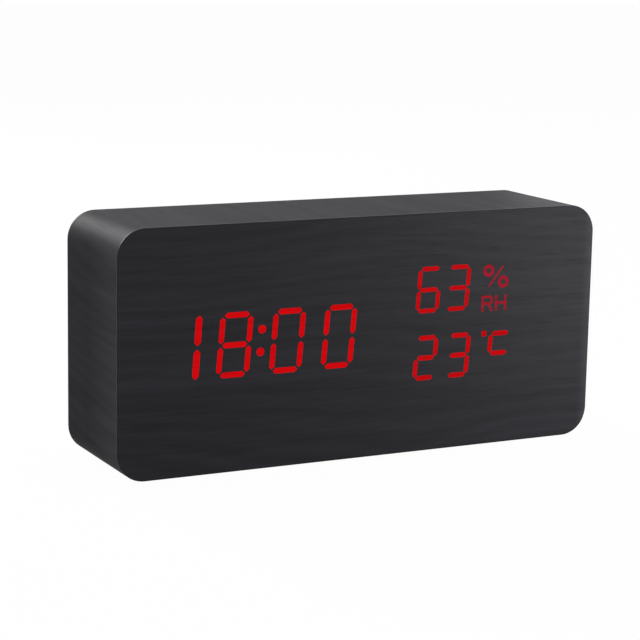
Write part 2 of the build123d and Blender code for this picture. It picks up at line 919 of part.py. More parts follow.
def make_rear_panel():
    panel = slab(panel_outline(0), panel_inner_y, panel_outer_y)
    panel = fillet(panel.edges().group_by(Axis.Y)[-1], panel_edge_radius)
    panel += make_battery_tub()
    for x, z in post_places:
        panel += rod(x, z, post_diameter, control_board_back_y, panel_inner_y)
    pilot_y = control_board_back_y + board_screw_bite
    for x, z in post_places:
        panel -= rod(x, z, board_screw_diameter, control_board_back_y, pilot_y)
    panel -= slab(bay_outline(), bay_floor_y + bay_rib_height, panel_outer_y)
    panel -= slab(door_opening(), door_inner_y - door_seat_gap, panel_outer_y)
    panel -= tab_slots()
    panel -= latch_slot()
    panel -= contact_slots()
    panel -= [slab(outline, panel_inner_y, panel_outer_y) for outline in panel_openings()]
    notch = Pos(bay_x, mid_z - opening_height / 2) * Circle(finger_notch_radius)
    panel -= slab(notch, panel_outer_y - finger_notch_depth, panel_outer_y)
    screw_hole = countersunk_hole()
    for x, z in panel_screw_places:
        plane = Plane(origin=(x, panel_outer_y, z), x_dir=(1, 0, 0), z_dir=(0, 1, 0))
        panel -= plane * screw_hole
    return panel


def countersunk_hole():
    """The hole that a panel screw sits in, along Z, with the panel's face at zero."""
    down = (Align.CENTER, Align.CENTER, Align.MAX)
    depth = (panel_screw_head_diameter - panel_screw_diameter) / 2
    sink = Cone(panel_screw_diameter / 2, panel_screw_head_diameter / 2, depth, align=down)
    return sink + Cylinder(panel_screw_diameter / 2, panel_thickness, align=down)


# Battery door

def make_battery_door():
    """A flap with a round top edge, two tabs behind the panel and a latch tongue."""
    half = door_width / 2
    leaf = Pos(bay_x, (door_bottom + door_axis_z) / 2) * Rectangle(door_width, door_axis_z - door_bottom)
    leaf = fillet(leaf.vertices().group_by(Axis.Y)[0], door_corner_radius)
    door = slab(leaf, door_inner_y, panel_outer_y)
    door += rod_along_x(bay_x - half, bay_x + half, door_axis_y, door_axis_z, door_thickness)
    root_low = door_axis_z - 2 * door_tab_thickness
    root_high = door_axis_z + door_thickness / 4
    hook_high = door_axis_z + door_tab_reach
    for x in door_tab_places:
        x0, x1 = x - door_tab_width / 2, x + door_tab_width / 2
        door += block(x0, x1, tab_inner_y, door_axis_y, root_low, root_high)
        door += block(x0, x1, tab_inner_y, tab_outer_y, root_low, hook_high)
    door += make_latch()
    rib_z = door_bottom + 2 * grip_rib_pitch
    for index in range(grip_rib_count):
        z = rib_z + index * grip_rib_pitch
        rib = Pos(bay_x, z) * SlotOverall(grip_rib_length, grip_rib_width)
        door += slab(rib, panel_outer_y, panel_outer_y + grip_rib_height)
    return door


def make_latch():
    """The tongue on the door's lower edge, with a catch that stops just short of the panel's edge."""
    low = door_bottom + latch_inset
    x0, x1 = bay_x - latch_width / 2, bay_x + latch_width / 2
    tip_y = door_inner_y - latch_reach
    tongue = block(x0, x1, tip_y, door_inner_y, low, low + latch_thickness)
    catch_y = tab_outer_y
    catch = block(x0, x1, catch_y - latch_catch_thickness, catch_y, low - latch_catch_height, low)
    return tongue + catch


# Buttons and switches

def make_button(x):
    """A cap in the panel, a flange behind it and a stem that reaches the switch."""
    place = Pos(x, button_z)
    flange_back = panel_inner_y - button_seat_gap
    flange_front = flange_back - button_flange_thickness
    cap_outline = place * SlotOverall(button_span, button_width)
    cap = slab(cap_outline, flange_back, panel_outer_y + button_proud)
    cap = fillet(cap.edges().group_by(Axis.Y)[-1], button_edge_radius)
    lip = 2 * button_flange_lip
    flange = slab(place * SlotOverall(button_span + lip, button_width + lip), flange_front, flange_back)
    stem = rod(x, button_z, button_stem_diameter, plunger_top_y, flange_front)
    return cap + flange + stem


def make_plunger(x):
    return rod(x, button_z, plunger_diameter, switch_top_y - plunger_depth, plunger_top_y)


def make_switch_body(x):
    """A push switch: a square body with a round well for its plunger and four legs."""
    half = switch_size / 2
    body = block(x - half, x + half, control_board_back_y, switch_top_y, button_z - half, button_z + half)
    well = plunger_diameter + 2 * plunger_clearance
    body -= rod(x, button_z, well, switch_top_y - plunger_depth - 2 * button_travel, switch_top_y)
    leg_half = switch_leg_width / 2
    leg_top = control_board_back_y + switch_leg_height
    for side in (-1, 1):
        leg_z = button_z + side * switch_leg_spacing / 2
        body += block(
            x - half - switch_leg_reach, x + half + switch_leg_reach, control_board_back_y, leg_top,
            leg_z - leg_half, leg_z + leg_half
        )
    return body


def make_switch_bodies():
    return Compound([make_switch_body(x).solid() for x in button_places.values()])


# Control board and what stands on it

def make_control_board():
    outline = Pos(board_x, mid_z) * RectangleRounded(board_width, board_height, cavity_corner_radius)
    board = slab(outline, control_board_front_y, control_board_back_y)
    for x, z in post_places:
        hole = board_screw_diameter + screw_hole_clearance
        board -= rod(x, z, hole, control_board_front_y, control_board_back_y)
    return board


def usb_outline(inset):
    """The socket's outline: a box with its two lower corners cut off."""
    half_w = usb_width / 2 - inset
    half_h = usb_height / 2 - inset
    points = [
        (-half_w, half_h),
        (-half_w, usb_chamfer - half_h),
        (usb_chamfer - half_w, -half_h),
        (half_w - usb_chamfer, -half_h),
        (half_w, usb_chamfer - half_h),
        (half_w, half_h),
    ]
    return Pos(usb_x, usb_z) * Polygon(*points)


def make_usb_socket():
    return slab(usb_outline(0) - usb_outline(usb_shell), control_board_back_y, usb_mouth_y)


def make_usb_tongue():
    base = slab(usb_outline(usb_shell), control_board_back_y, control_board_back_y + usb_base_length)
    tongue = Pos(usb_x, usb_z) * Rectangle(usb_tongue_width, usb_tongue_thickness)
    return base + slab(tongue, control_board_back_y, usb_mouth_y - usb_tongue_setback)


def make_buzzer():
    top = control_board_back_y + buzzer_height
    can = rod(board_x, buzzer_z, buzzer_diameter, control_board_back_y, top)
    can = fillet(can.edges().group_by(Axis.Y)[-1], buzzer_edge_radius)
    return can - rod(board_x, buzzer_z, buzzer_port_diameter, top - buzzer_port_depth, top)


def make_microphone():
    top = control_board_back_y + microphone_height
    can = rod(usb_x, microphone_z, microphone_diameter, control_board_back_y, top)
    face = microphone_diameter - 2 * microphone_rim
    return can - rod(usb_x, microphone_z, face, top - microphone_recess, top)


def make_humidity_sensor():
    """A slotted sensor housing that looks out through the vents."""
    half_w, half_l = humidity_sensor_width / 2, humidity_sensor_length / 2
    top = control_board_back_y + humidity_sensor_height
    low, high = sensor_z - half_l, sensor_z + half_l
    body = block(sensor_x - half_w, sensor_x + half_w, control_board_back_y, top, low, high)
    pitch = humidity_sensor_length / (humidity_sensor_slots + 1)
    slot_half = humidity_sensor_slot_width / 2
    for index in range(humidity_sensor_slots):
        z = sensor_z - half_l + pitch * (index + 1)
        body -= block(
            sensor_x - half_w / 2, sensor_x + half_w / 2, top - humidity_sensor_slot_depth, top,
            z - slot_half, z + slot_half
        )
    return body


def make_thermistor():
    """A bead on two legs."""
    x = sensor_x + humidity_sensor_width / 2 + thermistor_gap
    bead_y = control_board_back_y + thermistor_rise
    bead = Pos(x, bead_y, sensor_z) * Sphere(thermistor_diameter / 2)
    for side in (-1, 1):
        leg_x = x + side * thermistor_leg_spacing / 2
        bead += rod(leg_x, sensor_z, thermistor_leg, control_board_back_y, bead_y)
    return bead


clock_chip_z = mid_z
small_parts_z = clock_chip_z - chip_width - 2 * chip_lead_reach


def make_clock_chip():
    return chip_package(board_x, clock_chip_z, control_board_front_y, -1)


def make_crystal():
    """A quartz can lying on the board, with two leads bent down to it."""
    radius = crystal_diameter / 2
    y = control_board_front_y - radius - crystal_seat_gap
    x0 = board_x - crystal_length / 2
    x1 = board_x + crystal_length / 2
    can = rod_along_x(x0, x1, y, small_parts_z, crystal_diameter)
    for side in (-1, 1):
        z = small_parts_z + side * crystal_lead_spacing / 2
        half = crystal_lead / 2
        can += block(x1, x1 + crystal_lead_reach, y - half, y + half, z - half, z + half)
        x_foot = x1 + crystal_lead_reach - crystal_lead
        can += block(x_foot, x1 + crystal_lead_reach, y - half, control_board_front_y, z - half, z + half)
    return can


def make_capacitor():
    """A round can standing on the board, with the groove of its rolled edge."""
    x = board_x - chip_length / 2
    z = small_parts_z
    far = control_board_front_y - capacitor_height
    can = rod(x, z, capacitor_diameter, far, control_board_front_y)
    neck = Circle(capacitor_diameter / 2) - Circle(capacitor_diameter / 2 - capacitor_groove_depth)
    groove_y = control_board_front_y - capacitor_groove_rise
    return can - slab(Pos(x, z) * neck, groove_y - capacitor_groove_width, groove_y)


def make_resistors():
    chips = []
    z = clock_chip_z + chip_width / 2 + 2 * chip_lead_reach
    for index in range(resistor_count):
        x = board_x + (index - (resistor_count - 1) / 2) * resistor_pitch * board_stretch
        half_w, half_l = resistor_width / 2, resistor_length / 2
        front = control_board_front_y - resistor_height
        chips.append(
            block(x - half_w, x + half_w, front, control_board_front_y, z - half_l, z + half_l).solid()
        )
    return Compound(chips)


# Leads

ribbon_z = mid_z + ribbon_rise * upright
control_socket_x = board_left + ribbon_socket_inset * board_stretch
display_socket_x = control_socket_x + ribbon_span * board_stretch
plug_height = socket_height * board_gap / (2 * socket_height + ribbon_drop)
ribbon_start_y = display_board_back_y + plug_height
ribbon_end_y = control_board_front_y - plug_height


def make_socket(x, y_front, y_back):
    half_w, half_l = socket_width / 2, socket_length / 2
    return block(x - half_w, x + half_w, y_front, y_back, ribbon_z - half_l, ribbon_z + half_l)


def make_ribbon_cable():
    """A flat cable that leaves one socket, turns along the boards and turns into the other."""
    middle_y = (ribbon_start_y + ribbon_end_y) / 2
    run = middle_y - ribbon_start_y
    route = FilletPolyline(
        (display_socket_x, ribbon_start_y, ribbon_z),
        (display_socket_x, middle_y, ribbon_z),
        (control_socket_x, middle_y, ribbon_z),
        (control_socket_x, ribbon_end_y, ribbon_z),
        radius=run * ribbon_bend_share,
    )
    start = Plane(origin=route @ 0, x_dir=(0, 0, 1), z_dir=route % 0)
    return sweep(start * Rectangle(ribbon_width, ribbon_thickness), path=route)


def wire(points, radius):
    route = FilletPolyline(*points, radius=radius)
    section = Plane(origin=route @ 0, z_dir=route % 0) * Circle(wire_diameter / 2)
    tube = sweep(section, path=route)
    expected = pi * wire_diameter ** 2 / 4 * route.length
    print(f"wire of {route.length:.1f} mm, radius {radius:.2f}, volume ratio {tube.volume / expected:.4f}")
    return tube


def make_red_wire():
    """From the positive contact, half way to the set switch and down to the control board."""
    start = tub_left - contact_tail_reach
    switch_side = button_places["set"] + switch_size / 2 + switch_leg_reach
    corner = (start + switch_side) / 2
    return wire(
        [
            (start, cell_y, top_cell_z),
            (corner, cell_y, top_cell_z),
            (corner, control_board_back_y, top_cell_z),
        ],
        red_wire_bend_share * (cell_y - control_board_back_y),
    )


def make_black_wire():
    """From the negative contact, midway to the display board and on to the front of the control board."""
    start_x = bay_right - contact_thickness / 2
    start_y = bay_outer_y - contact_tail_reach
    drop = (start_y - display_board_back_y) / 2
    run_y = start_y - drop
    end_x = board_right - black_wire_reach * board_stretch
    return wire(
        [
            (start_x, start_y, bottom_cell_z),
            (start_x, run_y, bottom_cell_z),
            (end_x, run_y, bottom_cell_z),
            (end_x, control_board_front_y, bottom_cell_z),
        ],
        black_wire_bend_share * drop,
    )


# Cells, contacts and springs

def make_cell(z, plus):
    """One cell along X, its nub towards plus, which is -1 for the near end and 1 for the far end."""
    nub_end = bay_left + contact_thickness + contact_bump_height
    if plus > 0:
        nub_end = bay_right - contact_thickness - contact_bump_height
    can_end = nub_end - plus * cell_nub_height
    foot = nub_end - plus * cell_length
    can = rod_along_x(min(can_end, foot), max(can_end, foot), cell_y, z, cell_diameter)
    can = fillet(can.edges().filter_by(GeomType.CIRCLE), cell_edge_radius)
    nub = rod_along_x(min(can_end, nub_end), max(can_end, nub_end), cell_y, z, cell_nub_diameter)
    return can + nub


def contact_plate(x_wall, inward, z0, z1):
    """A plate on an end wall; inward is the way from the wall into the bay along X."""
    x_face = x_wall + inward * contact_thickness
    half = contact_size / 2
    return block(
        min(x_wall, x_face), max(x_wall, x_face), cell_y - half, cell_y + half, z0 - half, z1 + half
    )


def contact_bump(x_wall, inward, z):
    x0 = x_wall + inward * contact_thickness
    x1 = x0 + inward * contact_bump_height
    return rod_along_x(min(x0, x1), max(x0, x1), cell_y, z, contact_bump_diameter)


def make_positive_contact():
    half_w, half_t = contact_tail_width / 2, contact_thickness / 2
    plate = contact_plate(bay_left, 1, top_cell_z, top_cell_z) + contact_bump(bay_left, 1, top_cell_z)
    tail = block(
        tub_left - contact_tail_reach, bay_left, cell_y - half_w, cell_y + half_w,
        top_cell_z - half_t, top_cell_z + half_t
    )
    return plate + tail


def make_negative_contact():
    half_w = contact_tail_width / 2
    plate = contact_plate(bay_right, -1, bottom_cell_z, bottom_cell_z)
    tail = block(
        bay_right - contact_thickness, bay_right, bay_outer_y - contact_tail_reach, cell_y,
        bottom_cell_z - half_w, bottom_cell_z + half_w
    )
    return plate + tail


def make_near_bridge():
    return contact_plate(bay_left, 1, bottom_cell_z, mid_z) + contact_bump(bay_left, 1, bottom_cell_z)


def make_far_bridge():
    return contact_plate(bay_right, -1, mid_z, top_cell_z) + contact_bump(bay_right, -1, mid_z)


def spring_point(turn):
    """Place and heading on a conical spring along +Z that winds from its base to its tip."""
    rise = (spring_length - spring_wire) / spring_turns
    shrink = (spring_tip_diameter - spring_base_diameter) / 2 / spring_turns
    radius = spring_base_diameter / 2 - spring_wire / 2 + shrink * turn
    angle = 2 * pi * turn
    place = Vector(radius * cos(angle), radius * sin(angle), spring_wire / 2 + rise * turn)
    heading = Vector(
        shrink * cos(angle) - 2 * pi * radius * sin(angle),
        shrink * sin(angle) + 2 * pi * radius * cos(angle),
        rise,
    )
    return place, heading.normalized()


def biarc(start, end):
    """Two arcs that meet smoothly between two places with headings."""
    p0, t0 = start
    p1, t1 = end
    chord = p1 - p0
    spread = 2 * (1 - t0.dot(t1))
    pull = chord.dot(t0 + t1)
    reach = (sqrt(pull ** 2 + spread * chord.dot(chord)) - pull) / spread
    meet = (p0 + p1 + (t0 - t1) * reach) / 2
    heading = ((p1 - t1 * reach) - (p0 + t0 * reach)).normalized()
    return [Edge.make_tangent_arc(p0, t0, meet), Edge.make_tangent_arc(meet, heading, p1)]


def make_spring():
    quarters = [spring_point(index / 4) for index in range(4 * spring_turns + 1)]
    arcs = []
    for start, end in zip(quarters, quarters[1:]):
        arcs += biarc(start, end)
    route = Wire(arcs)
    place, heading = quarters[0]
    coil = sweep(Plane(origin=place, z_dir=heading) * Circle(spring_wire / 2), path=route)
    rise = (spring_length - spring_wire) / spring_turns
    expected = pi * spring_wire ** 2 / 4 * route.length
    print(f"spring gap {rise - spring_wire:.2f} mm, volume ratio {coil.volume / expected:.4f}")
    return coil


def make_contact_springs():
    """Springs behind the flat ends of the cells: one at the near end and two at the far end."""
    spring = make_spring()
    near_x = bay_left + contact_thickness
    far_x = bay_right - contact_thickness
    near = Plane(origin=(near_x, cell_y, mid_z), x_dir=(0, 1, 0), z_dir=(1, 0, 0))
    springs = [(near * spring).solid()]
    for z in (top_cell_z, bottom_cell_z):
        far = Plane(origin=(far_x, cell_y, z), x_dir=(0, 1, 0), z_dir=(-1, 0, 0))
        springs.append((far * spring).solid())
    return Compound(springs)


time_segments = glow(time_faces)
humidity_segments = glow(humidity_faces)
temperature_segments = glow(temperature_faces)
unit_marks = glow(unit_faces)

nodes = {
    "case_core": make_case_core(),
    "front_veneer": make_front_veneer(),
    "wrap_veneer": make_wrap_veneer(),
    "base_veneer": make_base_veneer(),
    "rear_veneer": make_rear_veneer(),
    "time_segments": time_segments,
    "humidity_segments": humidity_segments,
    "temperature_segments": temperature_segments,
    "unit_marks": unit_marks,
    "diffuser_film": make_diffuser_film(),
    "reflector_block": make_reflector_block(),
    "display_board": make_display_board(),
    "led_chips": make_led_chips(),
    "driver_chip": make_driver_chip(),
    "display_screws": make_display_screws(),
    "rear_panel": make_rear_panel(),
    "rear_panel_screws": make_rear_panel_screws(),
    "battery_door": make_battery_door(),
    "switch_bodies": make_switch_bodies(),
    "control_board": make_control_board(),
    "control_board_screws": make_control_board_screws(),
    "usb_socket": make_usb_socket(),
    "usb_tongue": make_usb_tongue(),
    "buzzer": make_buzzer(),
    "microphone": make_microphone(),
    "humidity_sensor": make_humidity_sensor(),
    "thermistor": make_thermistor(),
    "clock_chip": make_clock_chip(),
    "crystal": make_crystal(),
    "capacitor": make_capacitor(),
    "resistors": make_resistors(),
    "display_socket": make_socket(display_socket_x, display_board_back_y, ribbon_start_y),
    "control_socket": make_socket(control_socket_x, ribbon_end_y, control_board_front_y),
    "ribbon_cable": make_ribbon_cable(),
    "top_cell": make_cell(top_cell_z, -1),
    "middle_cell": make_cell(mid_z, 1),
    "bottom_cell": make_cell(bottom_cell_z, -1),
    "positive_contact": make_positive_contact(),
    "negative_contact": make_negative_contact(),
    "near_bridge": make_near_bridge(),
    "far_bridge": make_far_bridge(),
    "contact_springs": make_contact_springs(),
    "red_wire": make_red_wire(),
    "black_wire": make_black_wire(),
}
for name, x in button_places.items():
    nodes[f"{name}_button"] = make_button(x)
    nodes[f"{name}_plunger"] = make_plunger(x)

for name, shape in nodes.items():
    export_step(shape, f"parts/{name}.step")

print(f"door axis at x {bay_x:.3f}, y {door_axis_y:.3f}, z {door_axis_z:.3f}")
print(f"buttons at z {button_z:.3f}, x", {name: round(x, 3) for name, x in button_places.items()})
print(f"button cap face at y {panel_outer_y + button_proud:.3f}")
print(f"socket mouth at x {usb_x:.3f}, y {usb_mouth_y:.3f}, z {usb_z:.3f}")
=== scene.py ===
# %% [markdown]
# # A desk clock in black wood-grain foil
# The clock is a fibreboard block wrapped in thin foil that is printed and embossed as black wood. Red light
# segments shine through the front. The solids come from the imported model, which is the fixed frame: nothing
# in it is moved. Here each solid gets its finish, and the pieces whose look needs more than the solids give
# are modelled on top of them, in metres, in the same frame.

# %% Load the frame
import bpy
import bmesh
from math import cos, pi, radians, sin
from mathutils import Matrix, Vector


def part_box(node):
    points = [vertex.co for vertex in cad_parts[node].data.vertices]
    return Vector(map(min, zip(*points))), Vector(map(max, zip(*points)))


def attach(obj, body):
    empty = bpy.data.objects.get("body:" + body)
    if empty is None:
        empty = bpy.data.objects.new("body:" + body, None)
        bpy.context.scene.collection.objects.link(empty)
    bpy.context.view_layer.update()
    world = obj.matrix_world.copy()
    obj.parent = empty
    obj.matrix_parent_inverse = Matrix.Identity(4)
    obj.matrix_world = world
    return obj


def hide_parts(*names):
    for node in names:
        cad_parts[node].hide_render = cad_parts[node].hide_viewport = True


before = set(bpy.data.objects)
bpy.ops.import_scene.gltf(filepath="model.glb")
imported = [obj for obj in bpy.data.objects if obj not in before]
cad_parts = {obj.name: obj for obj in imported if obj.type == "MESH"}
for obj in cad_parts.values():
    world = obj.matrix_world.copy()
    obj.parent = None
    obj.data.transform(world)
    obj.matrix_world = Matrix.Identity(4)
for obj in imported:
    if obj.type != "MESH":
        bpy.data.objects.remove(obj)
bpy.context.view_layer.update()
scene = bpy.context.scene
scene.view_settings.view_transform = "Standard"

# %% [markdown]
# ## Camera
# The photograph looks at the clock from its left, a little from above, through a long lens, and leans by
# about one degree. A camera could be aimed with a constraint, but here its turn is worked out from three
# angles, because the lean and the small offset of the picture are then plain numbers.

# %% Aim the camera
camera_yaw = radians(27.176)
camera_pitch = radians(-10.861)
camera_roll = radians(1.0887)
camera_distance = 0.59570
camera_aim = Vector((0, 0, 0.035))
camera_offset = (-0.004585, 0.001223)

ahead = Vector((sin(camera_yaw) * cos(camera_pitch), cos(camera_yaw) * cos(camera_pitch), sin(camera_pitch)))
level_right = Vector((cos(camera_yaw), -sin(camera_yaw), 0))
level_up = level_right.cross(ahead)
right = cos(camera_roll) * level_right + sin(camera_roll) * level_up
up = -sin(camera_roll) * level_right + cos(camera_roll) * level_up
place = camera_aim - ahead * camera_distance + right * camera_offset[0] + up * camera_offset[1]

camera_data = bpy.data.cameras.new("photo_camera")
camera_data.sensor_width = 36
camera_data.lens = 116.0
camera_data.clip_start = 0.01
camera = bpy.data.objects.new("photo_camera", camera_data)
scene.collection.objects.link(camera)
turn = Matrix((right, up, -ahead)).transposed().to_4x4()
camera.matrix_world = Matrix.Translation(place) @ turn
scene.camera = camera
print("camera at", tuple(round(c, 4) for c in place))

# %% [markdown]
# ## Floor and surroundings
# The clock stands on a plain pale floor that runs into a white background. The floor could be left to a
# light so strong that it burns out, but then the clock would burn out too. Light Path tells the material
# what kind of ray asks: the camera and shiny surfaces see plain white, and the floor still keeps a soft
# shadow, because part of what the camera sees there is its own lit surface.

# %% Tell rays apart
def asked_by(nodes, links, *kinds):
    """Gives one where a ray of one of these kinds asks, and nought elsewhere."""
    ray = nodes.new("ShaderNodeLightPath")
    asked = ray.outputs[kinds[0]]
    for kind in kinds[1:]:
        either = nodes.new("ShaderNodeMath")
        either.operation = "MAXIMUM"
        links.new(asked, either.inputs[0])
        links.new(ray.outputs[kind], either.inputs[1])
        asked = either.outputs[0]
    return asked


# %% Lay the floor
floor_width, floor_gap = 6, 0.0002
white_share = 0.98
bpy.ops.object.select_all(action="DESELECT")
bpy.ops.mesh.primitive_plane_add(size=floor_width, location=(0, 0, -floor_gap))
floor = bpy.context.object
floor.name = "floor"

floor_finish = bpy.data.materials.new("pale_floor")
floor_finish.use_nodes = True
nodes, links = floor_finish.node_tree.nodes, floor_finish.node_tree.links
floor_shader = nodes["Principled BSDF"]
floor_shader.inputs["Base Color"].default_value = (0.5, 0.5, 0.5, 1)
floor_shader.inputs["Roughness"].default_value = 0.9
floor_shader.inputs["Specular IOR Level"].default_value = 0.1
white = nodes.new("ShaderNodeEmission")
white.inputs["Color"].default_value = (1, 1, 1, 1)
white.inputs["Strength"].default_value = 1.0
share = nodes.new("ShaderNodeMath")
share.operation = "MULTIPLY"
share.inputs[1].default_value = white_share
links.new(asked_by(nodes, links, "Is Camera Ray", "Is Glossy Ray"), share.inputs[0])
blend = nodes.new("ShaderNodeMixShader")
links.new(share.outputs[0], blend.inputs["Fac"])
links.new(floor_shader.outputs["BSDF"], blend.inputs[1])
links.new(white.outputs["Emission"], blend.inputs[2])
links.new(blend.outputs["Shader"], nodes["Material Output"].inputs["Surface"])
floor.data.materials.append(floor_finish)
print("floor", floor.name)

# %% Surround the scene with white
fill_strength = 0.32
world = bpy.data.worlds.new("white_studio")
scene.world = world
world.use_nodes = True
nodes, links = world.node_tree.nodes, world.node_tree.links
fill = nodes["Background"]
fill.inputs["Color"].default_value = (1, 1, 1, 1)
fill.inputs["Strength"].default_value = fill_strength
backdrop = nodes.new("ShaderNodeBackground")
backdrop.inputs["Color"].default_value = (1, 1, 1, 1)
backdrop.inputs["Strength"].default_value = 1.0
seen = asked_by(nodes, links, "Is Camera Ray", "Is Glossy Ray", "Is Transmission Ray")
blend = nodes.new("ShaderNodeMixShader")
links.new(seen, blend.inputs["Fac"])
links.new(fill.outputs["Background"], blend.inputs[1])
links.new(backdrop.outputs["Background"], blend.inputs[2])
links.new(blend.outputs["Shader"], nodes["World Output"].inputs["Surface"])
print("world", world.name)

# %% [markdown]
# ## Lamps
# The photograph has soft light from the front right, so the front grows lighter towards its right end, a
# weaker one from the front left, and light from above. A lamp behind the clock on the left draws the bright
# streak along the round corner there. Two weak ones on the right, one broad and far off, one small and near,
# lift the far end of the top. Area lamps give all of that: a lamp near the clock falls off along it. A sun
# lamp would light the whole front evenly.

# %% Hang the lamps
def hang_lamp(name, place, aim, size, watts):
    data = bpy.data.lights.new(name, "AREA")
    data.shape = "DISK"
    data.size = size
    data.energy = watts
    lamp = bpy.data.objects.new(name, data)
    scene.collection.objects.link(lamp)
    lamp.location = place
    lamp.rotation_euler = (Vector(aim) - Vector(place)).to_track_quat("-Z", "Y").to_euler()
    print("lamp", name, watts, "W")


hang_lamp("front_right_lamp", (0.195, -0.15, 0.045), (0.08, -0.02, 0.035), 0.14, 0.60)
hang_lamp("front_left_lamp", (-0.12, -0.26, 0.010), (-0.04, -0.02, 0.025), 0.14, 0.37)
hang_lamp("overhead_lamp", (-0.06, 0.10, 0.80), (-0.02, 0, 0.05), 0.5, 3.8)
hang_lamp("back_lamp", (-0.23, 0.85, 0.46), (-0.07, 0, 0.065), 0.34, 12.2)
hang_lamp("back_right_lamp", (0.30, 0.72, 0.23), (0, 0, 0.068), 0.4, 0.32)
hang_lamp("far_end_lamp", (0.12, 0.06, 0.090), (0.068, 0.01, 0.068), 0.04, 0.012)

# %% [markdown]
# ## A way to start a finish
# Every finish below is one Principled BSDF with its own nodes. The first helper makes the bare one with its
# plain values, and the second puts a finish on solids of the frame. The others add one kind of node each, so
# that the finishes further down read as a list of what the eye would see.

# %% Start and place finishes
def start_finish(name, colour, roughness, specular=0.5, metallic=0.0):
    material = bpy.data.materials.new(name)
    material.use_nodes = True
    shader = material.node_tree.nodes["Principled BSDF"]
    shader.inputs["Base Color"].default_value = (*colour, 1)
    shader.inputs["Roughness"].default_value = roughness
    shader.inputs["Specular IOR Level"].default_value = specular
    shader.inputs["Metallic"].default_value = metallic
    return material, material.node_tree, shader


def paint(material, *names):
    for name in names:
        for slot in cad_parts[name].material_slots:
            slot.material = material
    print(material.name, "on", ", ".join(names))


# %% Add one kind of node each
def surface_place(tree):
    """The place on the piece, in metres, as one vector and as X, Y and Z."""
    place = tree.nodes.new("ShaderNodeTexCoord").outputs["Object"]
    split = tree.nodes.new("ShaderNodeSeparateXYZ")
    tree.links.new(place, split.inputs["Vector"])
    return place, split.outputs["X"], split.outputs["Y"], split.outputs["Z"]


def stretched_noise(tree, vector, scale, detail, roughness=0.55):
    """Noise whose cells are drawn out by a scale for each axis."""
    mapping = tree.nodes.new("ShaderNodeMapping")
    mapping.inputs["Scale"].default_value = scale
    tree.links.new(vector, mapping.inputs["Vector"])
    noise = tree.nodes.new("ShaderNodeTexNoise")
    noise.inputs["Scale"].default_value = 1.0
    noise.inputs["Detail"].default_value = detail
    noise.inputs["Roughness"].default_value = roughness
    tree.links.new(mapping.outputs["Vector"], noise.inputs["Vector"])
    return noise.outputs["Fac"]


def math_node(tree, operation, *values):
    node = tree.nodes.new("ShaderNodeMath")
    node.operation = operation
    for socket, value in zip(node.inputs, values):
        if isinstance(value, (int, float)):
            socket.default_value = value
        else:
            tree.links.new(value, socket)
    return node.outputs[0]


def spread(tree, value, low, high, to_low=0.0, to_high=1.0):
    """Maps the range low to high onto to_low to to_high, and clamps it there."""
    node = tree.nodes.new("ShaderNodeMapRange")
    for label, number in zip(("From Min", "From Max", "To Min", "To Max"), (low, high, to_low, to_high)):
        node.inputs[label].default_value = number
    tree.links.new(value, node.inputs["Value"])
    return node.outputs["Result"]


def blend_colours(tree, share, first, second):
    """Mixes two colours, each given as three numbers or as a socket."""
    node = tree.nodes.new("ShaderNodeMix")
    node.data_type = "RGBA"
    tree.links.new(share, node.inputs["Factor"])
    for label, colour in (("A", first), ("B", second)):
        if isinstance(colour, tuple):
            node.inputs[label].default_value = (*colour, 1)
        else:
            tree.links.new(colour, node.inputs[label])
    return node.outputs["Result"]


def raise_surface(tree, shader, height, strength, distance):
    bump = tree.nodes.new("ShaderNodeBump")
    bump.inputs["Strength"].default_value = strength
    bump.inputs["Distance"].default_value = distance
    tree.links.new(height, bump.inputs["Height"])
    tree.links.new(bump.outputs["Normal"], shader.inputs["Normal"])


# %% Make and use a shared effect
def new_group(name, outputs):
    """A shader group that takes a place on the surface and gives values."""
    tree = bpy.data.node_groups.new(name, "ShaderNodeTree")
    tree.interface.new_socket("Place", in_out="INPUT", socket_type="NodeSocketVector")
    for label in outputs:
        tree.interface.new_socket(label, in_out="OUTPUT", socket_type="NodeSocketFloat")
    return tree, tree.nodes.new("NodeGroupInput").outputs["Place"], tree.nodes.new("NodeGroupOutput")


def close_group(tree, group_out, **values):
    for label, value in values.items():
        tree.links.new(value, group_out.inputs[label])
    print("group", tree.name, "with", len(tree.nodes), "nodes")


def use_group(tree, group, scale=1.0, turn=0):
    """Places a group in a finish, with its pattern scaled and turned about Z."""
    mapping = tree.nodes.new("ShaderNodeMapping")
    mapping.inputs["Scale"].default_value = (scale, scale, scale)
    mapping.inputs["Rotation"].default_value = (0, 0, radians(turn))
    tree.links.new(surface_place(tree)[0], mapping.inputs["Vector"])
    node = tree.nodes.new("ShaderNodeGroup")
    node.node_tree = group
    tree.links.new(mapping.outputs["Vector"], node.inputs["Place"])
    return node.outputs


# %% [markdown]
# ## Grain of the foil
# The foil copies wood: close, nearly straight lines a little over a millimetre apart, growth rings that rise
# and fall along the board, broad bands, fine streaks, and short pores pressed into its surface. A picture of
# wood would do this on one face only, while noise that is drawn out along the grain works on all faces. It
# sits in a group that takes the place on the surface, with X along the grain, so that the front, the wrap
# and the back can each turn the grain their own way. Lines and rings are sines of the place across the
# grain, and noise shifts their phase, for the rings by far more.

